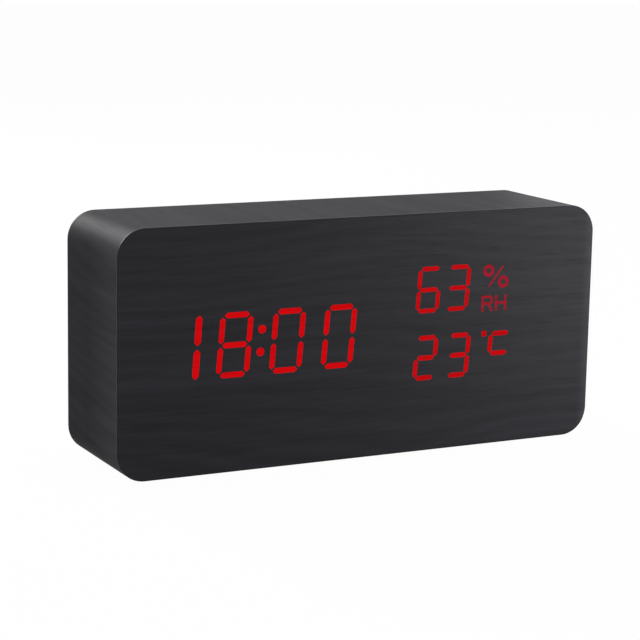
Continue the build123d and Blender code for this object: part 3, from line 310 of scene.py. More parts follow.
# %% Build the foil grain
line_pitch, line_shift, bow_reach = 0.00135, 20.0, 0.006
foil_values = ["Lines", "Rings", "Streaks", "Bands", "Pores", "Height"]
grain, grain_place, grain_out = new_group("foil_grain", foil_values)
bow = stretched_noise(grain, grain_place, (9, 20, 20), 1.0)
bow_offset = math_node(grain, "MULTIPLY", math_node(grain, "SUBTRACT", bow, 0.5), bow_reach)
bow_vector = grain.nodes.new("ShaderNodeCombineXYZ")
grain.links.new(bow_offset, bow_vector.inputs["Y"])
grain.links.new(bow_offset, bow_vector.inputs["Z"])
bowed = grain.nodes.new("ShaderNodeVectorMath")
bowed.operation = "ADD"
grain.links.new(grain_place, bowed.inputs[0])
grain.links.new(bow_vector.outputs["Vector"], bowed.inputs[1])
along_grain = bowed.outputs["Vector"]

across_grain = grain.nodes.new("ShaderNodeSeparateXYZ")
grain.links.new(grain_place, across_grain.inputs["Vector"])
distance = math_node(grain, "ADD", across_grain.outputs["Y"], across_grain.outputs["Z"])
line_noise = stretched_noise(grain, grain_place, (28, 330, 330), 2.0)
line_drift = math_node(grain, "MULTIPLY", line_noise, line_shift)
phase = math_node(grain, "MULTIPLY_ADD", distance, 2 * pi / line_pitch, line_drift)
lines = math_node(grain, "MULTIPLY_ADD", math_node(grain, "SINE", phase), 0.5, 0.5)

# %% Add the growth rings to the grain
ring_pitch, ring_shift, ring_reach = 0.0044, 8.0, 0.042
ring_rise = stretched_noise(grain, grain_place, (7, 15, 15), 1.0)
ring_noise = stretched_noise(grain, grain_place, (24, 210, 210), 3.0)
ring_drift = math_node(grain, "MULTIPLY", ring_noise, ring_shift)
risen = math_node(grain, "MULTIPLY_ADD", ring_rise, ring_reach, distance)
ring_phase = math_node(grain, "MULTIPLY_ADD", risen, 2 * pi / ring_pitch, ring_drift)
rings = math_node(grain, "MULTIPLY_ADD", math_node(grain, "SINE", ring_phase), 0.5, 0.5)

# %% Add streaks and pores to the grain
streaks = stretched_noise(grain, along_grain, (55, 1050, 1050), 3.0, 0.6)
bands = stretched_noise(grain, along_grain, (8, 150, 150), 3.0, 0.6)
pores = spread(grain, stretched_noise(grain, along_grain, (110, 2600, 2600), 1.0), 0.60, 0.70)
height = math_node(grain, "SUBTRACT", math_node(grain, "MULTIPLY", streaks, 0.8), pores)
close_group(grain, grain_out, Lines=lines, Rings=rings, Streaks=streaks, Bands=bands, Pores=pores,
            Height=height)

# %% [markdown]
# ## Foil finishes
# Three finishes share the grain. On the front and the back it runs along the clock. The wrap is one strip
# laid over the sides and the top with its grain across, so there it runs from front to back. The foil is
# satin: its pores are duller than its flat. Its edges are painted paler, as a painted highlight, and so are
# bands on the sides towards the front and along the right end of the front. One function makes all three,
# with the numbers that differ. It finds the faces with a painted highlight band by the way they point.

# %% Make the foil
# The colour of the painted highlight, towards which the print is lightened at its edges and in bands.
painted_highlight_colour = (0.088, 0.088, 0.100)
band_share, line_share, ring_share = 0.6, 0.1, 0.3
foil_relief = 0.00012


def make_foil(name, turn, streaky, dark, light, specular, gloss, depth, edge_highlight, highlight_band=None):
    """turn is the grain's turn about Z, streaky the share of fine streaks beside broad bands, gloss the
    roughness of flat and pores, depth the strength of the embossing, and the last two the painted highlight:
    how much paler the edges are painted, and where and how much a painted highlight band lies on the print."""
    material, tree, shader = start_finish(name, dark, gloss[0], specular)
    wood = use_group(tree, grain, turn=turn)
    broad = math_node(tree, "ADD", math_node(tree, "MULTIPLY", wood["Streaks"], streaky),
                      math_node(tree, "MULTIPLY", wood["Bands"], 1 - streaky))
    fine = math_node(tree, "ADD", math_node(tree, "MULTIPLY", spread(tree, broad, 0.38, 0.62), band_share),
                     math_node(tree, "MULTIPLY", wood["Lines"], line_share))
    mixed = math_node(tree, "MULTIPLY_ADD", wood["Rings"], ring_share, fine)
    print_colour = blend_colours(tree, mixed, dark, light)

    split = tree.nodes.new("ShaderNodeSeparateXYZ")
    tree.links.new(tree.nodes.new("ShaderNodeNewGeometry").outputs["Normal"], split.inputs["Vector"])
    points_x = math_node(tree, "ABSOLUTE", split.outputs["X"])
    points_y = math_node(tree, "ABSOLUTE", split.outputs["Y"])
    # Faces that turn away from the front, the edges of the sheet, are painted paler: a painted highlight.
    painted_highlight_share = math_node(tree, "MULTIPLY", math_node(tree, "SUBTRACT", 1.0, points_y), edge_highlight)
    # A painted highlight band on the faces that point the given way, rising towards one end, following the
    # grain's bands.
    if highlight_band:
        place, x, y, z = surface_place(tree)
        along, facing = (x, points_y) if highlight_band["along"] == "X" else (y, points_x)
        near_end = spread(tree, along, highlight_band["start"], highlight_band["end"], 0, highlight_band["share"])
        highlight_faces = math_node(tree, "MULTIPLY", facing, wood["Bands"])
        painted_highlight_share = math_node(tree, "MULTIPLY_ADD", near_end, highlight_faces, painted_highlight_share)
    tree.links.new(blend_colours(tree, painted_highlight_share, print_colour, painted_highlight_colour), shader.inputs["Base Color"])
    tree.links.new(spread(tree, wood["Pores"], 0, 1, *gloss), shader.inputs["Roughness"])
    raise_surface(tree, shader, wood["Height"], depth, foil_relief)
    return material


front_dark, front_light = (0.0050, 0.0049, 0.0063), (0.0126, 0.0123, 0.0157)
wrap_dark, wrap_light = (0.0074, 0.0074, 0.0094), (0.0170, 0.0170, 0.0200)
# Painted highlights: a narrow band at the right end of the front, and a band on the sides towards the front
# edge.
front_end_highlight = {"along": "X", "start": 0.0718, "end": 0.0750, "share": 0.30}
side_highlight = {"along": "Y", "start": 0.002, "end": -0.0184, "share": 0.46}
flat_foil = dict(turn=0, streaky=0.45, dark=front_dark, light=front_light, specular=0.10, gloss=(0.56, 0.68),
                 depth=0.12, edge_highlight=0.15)
front_foil = make_foil("front_foil", highlight_band=front_end_highlight, **flat_foil)
back_foil = make_foil("back_foil", **flat_foil)
wrap_foil = make_foil("wrap_foil", turn=90, streaky=0.2, dark=wrap_dark, light=wrap_light, specular=0.024,
                      gloss=(0.60, 0.64), depth=0.08, edge_highlight=0.0, highlight_band=side_highlight)
paint(front_foil, "front_veneer")
paint(back_foil, "rear_veneer")
paint(wrap_foil, "base_veneer", "wrap_veneer")

# %% [markdown]
# ## The wrapped foil
# On the real clock one strip of foil goes up the left side, over the top and down the right side. Its round
# corners carry the brightest reflection in the photograph, so their shading must be smooth. A pipe bent
# along the outline would do it, but a cube is quicker: its ends are opened, its four long edges are bevelled
# to the corner radius, the flat of the base is taken out, and the shell gets the foil's thickness.

# %% Model the wrap
corner_radius, corner_steps = 0.008, 28
foil_thickness = 0.0006
low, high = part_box("wrap_veneer")


def start_piece(name):
    """Names the new primitive and puts its place and size into its mesh."""
    piece = bpy.context.object
    piece.name = name
    piece.data.name = name
    bpy.ops.object.transform_apply(location=True, rotation=True, scale=True)
    return piece


def select_faces(piece, wanted):
    """In edit mode, selects only the faces for which wanted(face) holds."""
    bpy.ops.mesh.select_mode(type="FACE")
    bpy.ops.mesh.select_all(action="DESELECT")
    mesh = bmesh.from_edit_mesh(piece.data)
    for face in mesh.faces:
        face.select_set(wanted(face))
    bmesh.update_edit_mesh(piece.data)


def select_edges(piece, wanted):
    """In edit mode, selects only the edges for which wanted(edge) holds."""
    bpy.ops.mesh.select_mode(type="EDGE")
    bpy.ops.mesh.select_all(action="DESELECT")
    mesh = bmesh.from_edit_mesh(piece.data)
    for edge in mesh.edges:
        edge.select_set(wanted(edge))
    bmesh.update_edit_mesh(piece.data)


def edge_way(edge):
    return (edge.verts[1].co - edge.verts[0].co).normalized()


bpy.ops.object.select_all(action="DESELECT")
bpy.ops.mesh.primitive_cube_add(size=1, location=(low + high) / 2, scale=high - low)
case_wrap = start_piece("case_wrap")
bpy.ops.object.mode_set(mode="EDIT")
select_faces(case_wrap, lambda face: abs(face.normal.y) > 0.9)
bpy.ops.mesh.delete(type="ONLY_FACE")
select_edges(case_wrap, lambda edge: abs(edge_way(edge).y) > 0.9)
bpy.ops.mesh.bevel(offset=corner_radius, offset_type="OFFSET", segments=corner_steps, profile=0.5)
select_faces(case_wrap, lambda face: face.normal.z < -0.999 and face.calc_area() > 0.001)
bpy.ops.mesh.delete(type="ONLY_FACE")
bpy.ops.object.mode_set(mode="OBJECT")
wall = case_wrap.modifiers.new("foil", "SOLIDIFY")
wall.thickness = foil_thickness
wall.offset = -1
bpy.ops.object.modifier_apply(modifier="foil")
bpy.ops.object.shade_smooth_by_angle(angle=radians(25))
case_wrap.data.materials.append(wrap_foil)
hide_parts("wrap_veneer")
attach(case_wrap, "clock")
print("case_wrap faces:", len(case_wrap.data.polygons))

# %% [markdown]
# ## Lit segments
# The light comes through the foil, so a lit segment is flat and even, a little darker where a streak of the
# foil's grain crosses it, and it reflects nothing of the room. The time is the brightest, the readings are a
# little darker, and the % and RH signs are dim, because one light chip has to fill a whole sign. An emission
# shader alone would do, but the Principled BSDF with an emission colour keeps the room's shade on it.

# %% Light the segments
full_red, streaked_red = (0.62, 0.0032, 0.0050), (0.54, 0.0026, 0.0042)
reading_red, streaked_reading_red = (0.54, 0.0040, 0.0062), (0.46, 0.0032, 0.0052)
dim_red, streaked_dim_red = (0.37, 0.011, 0.024), (0.29, 0.008, 0.018)
dim_sign_bottom = 0.0375


def start_light(name):
    material, tree, shader = start_finish(name, (0.002, 0.0, 0.0), 0.6, 0.0)
    share = spread(tree, use_group(tree, grain)["Streaks"], 0.35, 0.60)
    shader.inputs["Emission Strength"].default_value = 1.0
    return material, tree, shader, share


red_light, tree, shader, share = start_light("red_light")
tree.links.new(blend_colours(tree, share, streaked_red, full_red), shader.inputs["Emission Color"])
paint(red_light, "time_segments")

reading_light, tree, shader, share = start_light("reading_light")
tree.links.new(blend_colours(tree, share, streaked_reading_red, reading_red), shader.inputs["Emission Color"])
paint(reading_light, "humidity_segments", "temperature_segments")

sign_light, tree, shader, share = start_light("sign_light")
bright_sign = blend_colours(tree, share, streaked_reading_red, reading_red)
dim_sign = blend_colours(tree, share, streaked_dim_red, dim_red)
upper = math_node(tree, "GREATER_THAN", surface_place(tree)[3], dim_sign_bottom)
tree.links.new(blend_colours(tree, upper, bright_sign, dim_sign), shader.inputs["Emission Color"])
paint(sign_light, "unit_marks")

# %% [markdown]
# ## Fibreboard
# Under the foil the case is pressed fibreboard, which shows as a narrow brown step round the back panel. It
# is wood fibre in glue: a warm brown with paler short fibres. A print of fibres would need a picture, so two
# noises do it: a coarse one gives the cloudy colour, and a finer one, drawn out, the fibres.

# %% Make the fibreboard
fibreboard, tree, shader = start_finish("fibreboard", (0.21, 0.135, 0.075), 0.85, 0.15)
place = surface_place(tree)[0]
cloud = spread(tree, stretched_noise(tree, place, (160, 160, 160), 3.0), 0.35, 0.65)
fibres = spread(tree, stretched_noise(tree, place, (900, 900, 2600), 3.0, 0.7), 0.40, 0.68)
board_brown = blend_colours(tree, cloud, (0.150, 0.092, 0.050), (0.235, 0.155, 0.088))
tree.links.new(blend_colours(tree, fibres, board_brown, (0.33, 0.235, 0.145)), shader.inputs["Base Color"])
raise_surface(tree, shader, fibres, 0.35, 0.0001)
paint(fibreboard, "case_core")

# %% [markdown]
# ## Moulded plastic
# The back panel, the battery door, the buttons and most small housings are moulded. A spark-eroded mould
# leaves a skin of tiny bumps, the colour drifts a little where the melt flowed, and pale dust stays in the
# hollows. All of these differ only in scale and colour, so the skin is one group, and one function makes a
# finish from it.

# %% Build the moulded skin
skin, skin_place, skin_out = new_group("moulded_skin", ["Sparks", "Flow", "Dust"])
sparks = stretched_noise(skin, skin_place, (2300, 2300, 2300), 2.0, 0.6)
flow = spread(skin, stretched_noise(skin, skin_place, (36, 60, 36), 2.0), 0.34, 0.66)
dust_cloud = spread(skin, stretched_noise(skin, skin_place, (260, 260, 260), 4.0, 0.75), 0.48, 0.80)
dust = math_node(skin, "MULTIPLY", dust_cloud, math_node(skin, "SUBTRACT", 1.0, sparks))
close_group(skin, skin_out, Sparks=sparks, Flow=flow, Dust=dust)


# %% Make the plastics
def make_plastic(name, dark, light, gloss, specular, depth, dusty=0.0, scale=1.0):
    """gloss is the roughness in the hollows and on the bumps, and dusty how much pale dust the hollows
    hold."""
    material, tree, shader = start_finish(name, light, gloss[0], specular)
    moulded = use_group(tree, skin, scale)
    colour = blend_colours(tree, moulded["Flow"], dark, light)
    if dusty:
        pale = tuple(0.5 * part + 0.11 for part in light)
        colour = blend_colours(tree, math_node(tree, "MULTIPLY", moulded["Dust"], dusty), colour, pale)
    tree.links.new(colour, shader.inputs["Base Color"])
    tree.links.new(spread(tree, moulded["Sparks"], 0.35, 0.65, *gloss), shader.inputs["Roughness"])
    raise_surface(tree, shader, moulded["Sparks"], depth, 0.00010)
    return material


panel_plastic = make_plastic("black_panel_plastic", (0.0085, 0.0085, 0.0092), (0.0150, 0.0150, 0.0160),
                             (0.62, 0.46), 0.25, 0.55, dusty=0.06)
door_plastic = make_plastic("door_plastic", (0.0095, 0.0095, 0.0100), (0.0165, 0.0165, 0.0172),
                            (0.58, 0.42), 0.25, 0.45, dusty=0.05, scale=1.25)
paint(panel_plastic, "rear_panel")
paint(door_plastic, "battery_door")

# %% [markdown]
# ## Buttons
# The three buttons are glossier than the panel, because fingers polish them. The polish is strongest on the
# flat of the cap, which stands furthest out, so the finish reads how far a point is out along Y and lowers
# the roughness there. The colour turns a little paler towards the cap's edge, where it rubs in its hole.

# %% Make the button plastic
cap_face, polish_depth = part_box("set_button")[1].y, 0.0006
rubbed_edge = (0.055, 0.055, 0.058)
button_plastic, tree, shader = start_finish("button_plastic", (0.022, 0.022, 0.024), 0.45, 0.35)
moulded = use_group(tree, skin, 1.6)
outward = surface_place(tree)[2]
polish = spread(tree, outward, cap_face - polish_depth, cap_face)
rubbed_side = math_node(tree, "SUBTRACT", 1.0, polish)
cap_colour = blend_colours(tree, moulded["Flow"], (0.017, 0.017, 0.019), (0.026, 0.026, 0.028))
edge_share = math_node(tree, "MULTIPLY", rubbed_side, math_node(tree, "MULTIPLY", moulded["Sparks"], 0.7))
tree.links.new(blend_colours(tree, edge_share, cap_colour, rubbed_edge), shader.inputs["Base Color"])
tree.links.new(spread(tree, polish, 0.0, 1.0, 0.52, 0.30), shader.inputs["Roughness"])
raise_surface(tree, shader, moulded["Sparks"], 0.25, 0.00008)
paint(button_plastic, "set_button", "up_button", "down_button")

# %% [markdown]
# ## Plastics inside the case
# Little of the inside shows, and only through the holes of the back and past the open battery door, but
# every solid still gets the finish it has on the real clock: a white reflector block, off-white sockets, a
# dark red film in front of the lights, black chip packages and so on. The same function makes them.

# %% Make the inner plastics
satin, matt, clear = (0.5, 0.4), (0.6, 0.5), (0.35, 0.25)
chip_dark, chip_light = (0.010, 0.010, 0.011), (0.019, 0.019, 0.020)
reflector_plastic = make_plastic("reflector_plastic", (0.60, 0.60, 0.59), (0.72, 0.72, 0.71), satin, 0.4, 0.3)
film_plastic = make_plastic("diffuser_film", (0.090, 0.006, 0.006), (0.130, 0.010, 0.010), satin, 0.4, 0.2)
plunger_plastic = make_plastic("plunger_plastic", (0.016, 0.016, 0.017), (0.030, 0.030, 0.031),
                               satin, 0.4, 0.3, scale=2)
socket_plastic = make_plastic("socket_plastic", (0.52, 0.47, 0.36), (0.63, 0.58, 0.46),
                              satin, 0.4, 0.3, scale=2)
housing_plastic = make_plastic("sensor_housing", (0.48, 0.50, 0.52), (0.60, 0.62, 0.63),
                               satin, 0.4, 0.3, scale=2)
chip_plastic = make_plastic("chip_package", chip_dark, chip_light, matt, 0.3, 0.6, scale=2)
lens_resin = make_plastic("light_chip", (0.62, 0.50, 0.20), (0.78, 0.68, 0.36), clear, 0.5, 0.2, scale=3)
paint(reflector_plastic, "reflector_block")
paint(film_plastic, "diffuser_film")
paint(plunger_plastic, "set_plunger", "up_plunger", "down_plunger")
paint(socket_plastic, "display_socket", "control_socket")
paint(housing_plastic, "humidity_sensor")
paint(chip_plastic, "buzzer", "switch_bodies", "usb_tongue")
paint(lens_resin, "led_chips")

# %% [markdown]
# ## Circuit boards
# A board is glass cloth under green varnish, with copper tracks that show as paler lines and tinned holes
# that show as dots. A brick pattern gives the tracks, since its mortar lines run straight and step aside, and
# a cell pattern gives the holes. Both read X and Z only, because the boards stand upright.

# %% Make the circuit boards
track_scale, hole_scale, hole_radius = 130.0, 210.0, 0.13
circuit_board, tree, shader = start_finish("circuit_board", (0.010, 0.075, 0.030), 0.35, 0.5)
place, x, y, z = surface_place(tree)
flat_place = tree.nodes.new("ShaderNodeCombineXYZ")
tree.links.new(x, flat_place.inputs["X"])
tree.links.new(z, flat_place.inputs["Y"])
track_pattern = tree.nodes.new("ShaderNodeTexBrick")
track_pattern.inputs["Scale"].default_value = track_scale
track_pattern.inputs["Mortar Size"].default_value = 0.035
track_pattern.inputs["Row Height"].default_value = 0.35
tree.links.new(flat_place.outputs["Vector"], track_pattern.inputs["Vector"])
hole_pattern = tree.nodes.new("ShaderNodeTexVoronoi")
hole_pattern.inputs["Scale"].default_value = hole_scale
tree.links.new(flat_place.outputs["Vector"], hole_pattern.inputs["Vector"])
tracks = track_pattern.outputs["Fac"]
holes = math_node(tree, "LESS_THAN", hole_pattern.outputs["Distance"], hole_radius)
cloth = spread(tree, stretched_noise(tree, place, (1500, 1500, 1500), 2.0), 0.35, 0.65)
varnish = blend_colours(tree, cloth, (0.008, 0.060, 0.024), (0.012, 0.085, 0.034))
printed = blend_colours(tree, tracks, varnish, (0.022, 0.155, 0.062))
tree.links.new(blend_colours(tree, holes, printed, (0.55, 0.54, 0.50)), shader.inputs["Base Color"])
tree.links.new(holes, shader.inputs["Metallic"])
raise_surface(tree, shader, math_node(tree, "ADD", tracks, holes), 0.3, 0.00005)
paint(circuit_board, "display_board", "control_board")

# %% [markdown]
# ## Metal
# The screws are zinc-plated steel, and the contacts, springs, socket shell and crystal can are nickel plate.
# Plated metal is never one tone: it has fine scratches in one direction and dull clouds of tarnish. The two
# are one group, and each metal sets its own colours and gloss.

# %% Build the rubbed metal
rubbed, rubbed_place, rubbed_out = new_group("rubbed_metal", ["Scratches", "Tarnish"])
scratches = stretched_noise(rubbed, rubbed_place, (260, 4200, 4200), 2.0, 0.6)
tarnish = spread(rubbed, stretched_noise(rubbed, rubbed_place, (240, 240, 240), 3.0, 0.65), 0.42, 0.70)
close_group(rubbed, rubbed_out, Scratches=scratches, Tarnish=tarnish)


# %% Make the metals
def make_metal(name, clean, dull, gloss, depth):
    material, tree, shader = start_finish(name, clean, gloss[0], 0.5, 1.0)
    worn = use_group(tree, rubbed, turn=20)
    tree.links.new(blend_colours(tree, worn["Tarnish"], clean, dull), shader.inputs["Base Color"])
    roughness = math_node(tree, "ADD", math_node(tree, "MULTIPLY", worn["Tarnish"], 0.5),
                          math_node(tree, "MULTIPLY", worn["Scratches"], 0.5))
    tree.links.new(spread(tree, roughness, 0.1, 0.8, *gloss), shader.inputs["Roughness"])
    raise_surface(tree, shader, worn["Scratches"], depth, 0.00004)
    return material


screw_steel = make_metal("screw_steel", (0.52, 0.52, 0.54), (0.34, 0.33, 0.33), (0.26, 0.48), 0.3)
nickel_plate = make_metal("nickel_plate", (0.66, 0.64, 0.60), (0.50, 0.47, 0.42), (0.20, 0.40), 0.2)
paint(screw_steel, "rear_panel_screws", "display_screws", "control_board_screws")
paint(nickel_plate, "usb_socket", "crystal", "microphone", "positive_contact", "negative_contact",
      "near_bridge", "far_bridge", "contact_springs")

# %% [markdown]
# ## Soldered parts
# The chips, the chip resistors and the temperature bead are moulded bodies with tinned legs or ends. Two
# materials on one mesh would need faces to be picked out, but the solids stay as they are, so one finish does
# both: a mask that reads the place on the piece is one on the metal, and it turns Metallic on there.

# %% Make the soldered parts
chip_half_width, resistor_half_body, bead_leg = 0.00376, 0.00070, 0.0029
bead_dark, bead_light = (0.030, 0.012, 0.005), (0.055, 0.024, 0.010)


def ends_in_z(node, half_body):
    """Makes a mask of what lies further than half_body above or below the node's middle."""
    low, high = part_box(node)
    middle = (low.z + high.z) / 2

    def mask(tree):
        away = math_node(tree, "ABSOLUTE", math_node(tree, "SUBTRACT", surface_place(tree)[3], middle))
        return math_node(tree, "GREATER_THAN", away, half_body)

    return mask


def legs_in_y(node, length):
    """Makes a mask of the legs, which stand on the board behind the display."""
    board_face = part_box(node)[0].y
    return lambda tree: math_node(tree, "LESS_THAN", surface_place(tree)[2], board_face + length)


def make_soldered(node, dark, light, mask):
    material, tree, shader = start_finish(node + "_finish", light, 0.5, 0.4)
    moulded, worn = use_group(tree, skin, 2.0), use_group(tree, rubbed)
    body = blend_colours(tree, moulded["Flow"], dark, light)
    tin = blend_colours(tree, worn["Tarnish"], (0.62, 0.61, 0.58), (0.45, 0.44, 0.41))
    bare = mask(tree)
    tree.links.new(blend_colours(tree, bare, body, tin), shader.inputs["Base Color"])
    tree.links.new(bare, shader.inputs["Metallic"])
    tree.links.new(spread(tree, bare, 0, 1, 0.55, 0.32), shader.inputs["Roughness"])
    raise_surface(tree, shader, moulded["Sparks"], 0.3, 0.00006)
    paint(material, node)


make_soldered("clock_chip", chip_dark, chip_light, ends_in_z("clock_chip", chip_half_width))
make_soldered("driver_chip", chip_dark, chip_light, ends_in_z("driver_chip", chip_half_width))
make_soldered("resistors", chip_dark, chip_light, ends_in_z("resistors", resistor_half_body))
make_soldered("thermistor", bead_dark, bead_light, legs_in_y("thermistor", bead_leg))

# %% [markdown]
# ## Battery cells
# A cell is a steel can in a printed film jacket. The jacket is plain: one colour with a paler band near the
# plus end and a thin line beside it. It leaves the two ends bare, so there the finish is metal. The cells lie
# along X, and the middle one lies the other way round, so each finish gets its own ends from the frame.

# %% Make the cells
nub_height, jacket_margin = 0.0008, 0.0003
band_start, band_end, line_start, line_end = 0.0040, 0.0125, 0.0140, 0.0146


def between(tree, value, low, high):
    """A mask that is one where the value lies from low to high."""
    return math_node(tree, "MULTIPLY", math_node(tree, "GREATER_THAN", value, low),
                     math_node(tree, "LESS_THAN", value, high))


def make_cell(node, plus_at_high_x):
    low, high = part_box(node)
    length = high.x - low.x
    material, tree, shader = start_finish(node + "_jacket", (0.05, 0.09, 0.14), 0.3, 0.5)
    place, x, y, z = surface_place(tree)
    if plus_at_high_x:
        from_plus = math_node(tree, "SUBTRACT", high.x, x)
    else:
        from_plus = math_node(tree, "SUBTRACT", x, low.x)
    scuffs = spread(tree, stretched_noise(tree, place, (120, 900, 900), 3.0), 0.40, 0.70)
    film = blend_colours(tree, scuffs, (0.022, 0.060, 0.100), (0.036, 0.082, 0.130))
    pale = math_node(tree, "ADD", between(tree, from_plus, band_start, band_end),
                     between(tree, from_plus, line_start, line_end))
    film = blend_colours(tree, pale, film, (0.52, 0.54, 0.55))
    jacket = between(tree, from_plus, nub_height + jacket_margin, length - jacket_margin)
    bare = math_node(tree, "SUBTRACT", 1.0, jacket)
    tree.links.new(blend_colours(tree, bare, film, (0.66, 0.65, 0.63)), shader.inputs["Base Color"])
    tree.links.new(bare, shader.inputs["Metallic"])
    tree.links.new(spread(tree, scuffs, 0.0, 1.0, 0.24, 0.38), shader.inputs["Roughness"])
    raise_surface(tree, shader, scuffs, 0.1, 0.00005)
    paint(material, node)


make_cell("top_cell", False)
make_cell("middle_cell", True)
make_cell("bottom_cell", False)

# %% [markdown]
# ## Wires, ribbon and capacitor
# The wire jackets are soft plastic, shinier than the panel. The ribbon is eight wires side by side, so its
# surface has eight ridges, with painted shade in the grooves between them, and its first wire is marked red.
# The capacitor has a dark sleeve with a pale stripe down one side and a bare metal top. Ridges and stripes
# could follow a UV map, but they run straight, so they read Object coordinates, which are in metres here.

# %% Make the wire jackets
soft_gloss = (0.42, 0.32)
red_jacket = make_plastic("red_insulation", (0.42, 0.010, 0.010), (0.52, 0.016, 0.014),
                          soft_gloss, 0.5, 0.15, scale=2)
black_jacket = make_plastic("black_insulation", (0.010, 0.010, 0.010), (0.018, 0.018, 0.018),
                            soft_gloss, 0.5, 0.15, scale=2)
paint(red_jacket, "red_wire")
paint(black_jacket, "black_wire")

# %% Make the ribbon
ribbon_wires = 8
ribbon_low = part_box("ribbon_cable")[0].z
wire_pitch = (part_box("ribbon_cable")[1].z - ribbon_low) / ribbon_wires
ribbon_jacket, tree, shader = start_finish("ribbon_jacket", (0.40, 0.40, 0.41), 0.45, 0.4)
place, x, y, z = surface_place(tree)
across_ribbon = math_node(tree, "SUBTRACT", z, ribbon_low)
ridge = math_node(tree, "DIVIDE", math_node(tree, "PINGPONG", across_ribbon, wire_pitch / 2), wire_pitch / 2)
first_wire = math_node(tree, "LESS_THAN", across_ribbon, wire_pitch)
# The grooves between the wires are painted a darker grey: painted shade.
grey_with_painted_groove_shade = blend_colours(tree, spread(tree, ridge, 0.0, 0.5), (0.20, 0.20, 0.21), (0.43, 0.43, 0.44))
tree.links.new(blend_colours(tree, first_wire, grey_with_painted_groove_shade, (0.48, 0.020, 0.018)), shader.inputs["Base Color"])
raise_surface(tree, shader, ridge, 0.8, 0.0003)
paint(ribbon_jacket, "ribbon_cable")

# %% Make the capacitor
can_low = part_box("capacitor")[0]
stripe_depth, top_depth = 0.0006, 0.0002
capacitor_sleeve, tree, shader = start_finish("capacitor_sleeve", (0.012, 0.014, 0.030), 0.35, 0.5)
place, x, y, z = surface_place(tree)
stripe = math_node(tree, "LESS_THAN", x, can_low.x + stripe_depth)
bare_top = math_node(tree, "LESS_THAN", y, can_low.y + top_depth)
sleeve_noise = spread(tree, stretched_noise(tree, place, (700, 200, 700), 2.0), 0.35, 0.65)
sleeve = blend_colours(tree, sleeve_noise, (0.010, 0.012, 0.026), (0.018, 0.020, 0.040))
sleeve = blend_colours(tree, stripe, sleeve, (0.50, 0.50, 0.52))
tree.links.new(blend_colours(tree, bare_top, sleeve, (0.70, 0.70, 0.70)), shader.inputs["Base Color"])
tree.links.new(bare_top, shader.inputs["Metallic"])
tree.links.new(spread(tree, sleeve_noise, 0.0, 1.0, 0.28, 0.40), shader.inputs["Roughness"])
paint(capacitor_sleeve, "capacitor")

# %% [markdown]
# ## Marks beside the buttons
# Above each button the panel has a small raised mark: a ring for set, a triangle that points up and one that
# points down. They could be text, but such marks are moulded with soft edges, so each starts from a flat
# cylinder, of many sides for the ring and of three for the triangle. The ring's two faces are inset, their
# middles taken out and the two loops bridged. The triangle's corners are rounded, and the rims of the outer
# faces are bevelled. The second triangle is a copy of the first, turned by half a turn. The raised faces are
# printed pale, and the print is worn through in places.

# %% Make the worn print
mark_print, tree, shader = start_finish("mark_print", (0.42, 0.42, 0.42), 0.5, 0.3)
moulded = use_group(tree, skin, 2.0)
worn_through = spread(tree, moulded["Sparks"], 0.56, 0.66)
tree.links.new(blend_colours(tree, worn_through, (0.42, 0.42, 0.42), (0.030, 0.030, 0.032)),
               shader.inputs["Base Color"])
tree.links.new(spread(tree, moulded["Flow"], 0.0, 1.0, 0.42, 0.60), shader.inputs["Roughness"])
raise_surface(tree, shader, moulded["Sparks"], 0.2, 0.00006)
print("finish", mark_print.name)

# %% Model the ring and the triangles
panel_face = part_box("rear_panel")[1].y
mark_sunk, mark_height, mark_rise, mark_bevel = 0.0001, 0.00035, 0.0062, 0.00006
mark_root = panel_face - mark_sunk
ring_radius, ring_width, ring_sides = 0.0013, 0.00045, 64
triangle_radius, triangle_corner = 0.0015, 0.0003


def button_centre(name):
    low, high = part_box(name)
    return (low + high) / 2


def start_mark(name, centre, radius, sides):
    """A flat cylinder on the panel that faces the back, with one corner up where it has three sides."""
    bpy.ops.object.select_all(action="DESELECT")
    place = (centre.x, mark_root + mark_height / 2, centre.z + mark_rise)
    bpy.ops.mesh.primitive_cylinder_add(vertices=sides, radius=radius, depth=mark_height, location=place,
                                        rotation=(radians(90), 0, 0))
    return start_piece(name)


def finish_piece(piece, body, finish):
    bpy.ops.object.shade_smooth_by_angle(angle=radians(35))
    piece.data.materials.append(finish)
    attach(piece, body)
    print(piece.name, "faces:", len(piece.data.polygons))


def select_outer_rim(mark):
    """Selects the edges round the outermost face."""
    front = max(vertex.co.y for vertex in mark.data.vertices)
    select_edges(mark, lambda edge: all(abs(vertex.co.y - front) < 1e-6 for vertex in edge.verts))


set_mark = start_mark("set_mark", button_centre("set_button"), ring_radius, ring_sides)
bpy.ops.object.mode_set(mode="EDIT")
select_faces(set_mark, lambda face: abs(face.normal.y) > 0.9)
bpy.ops.mesh.inset(thickness=ring_width, use_individual=True)
bpy.ops.mesh.delete(type="ONLY_FACE")
select_edges(set_mark, lambda edge: edge.is_boundary)
bpy.ops.mesh.bridge_edge_loops()
bpy.ops.mesh.select_all(action="SELECT")
bpy.ops.mesh.normals_make_consistent(inside=False)
ring_face = mark_root + mark_height
select_edges(set_mark, lambda edge: edge.calc_face_angle() > 0.5 and edge.verts[0].co.y > ring_face - 1e-6)
bpy.ops.mesh.bevel(offset=mark_bevel, offset_type="OFFSET", segments=3)
bpy.ops.object.mode_set(mode="OBJECT")
finish_piece(set_mark, "clock", mark_print)

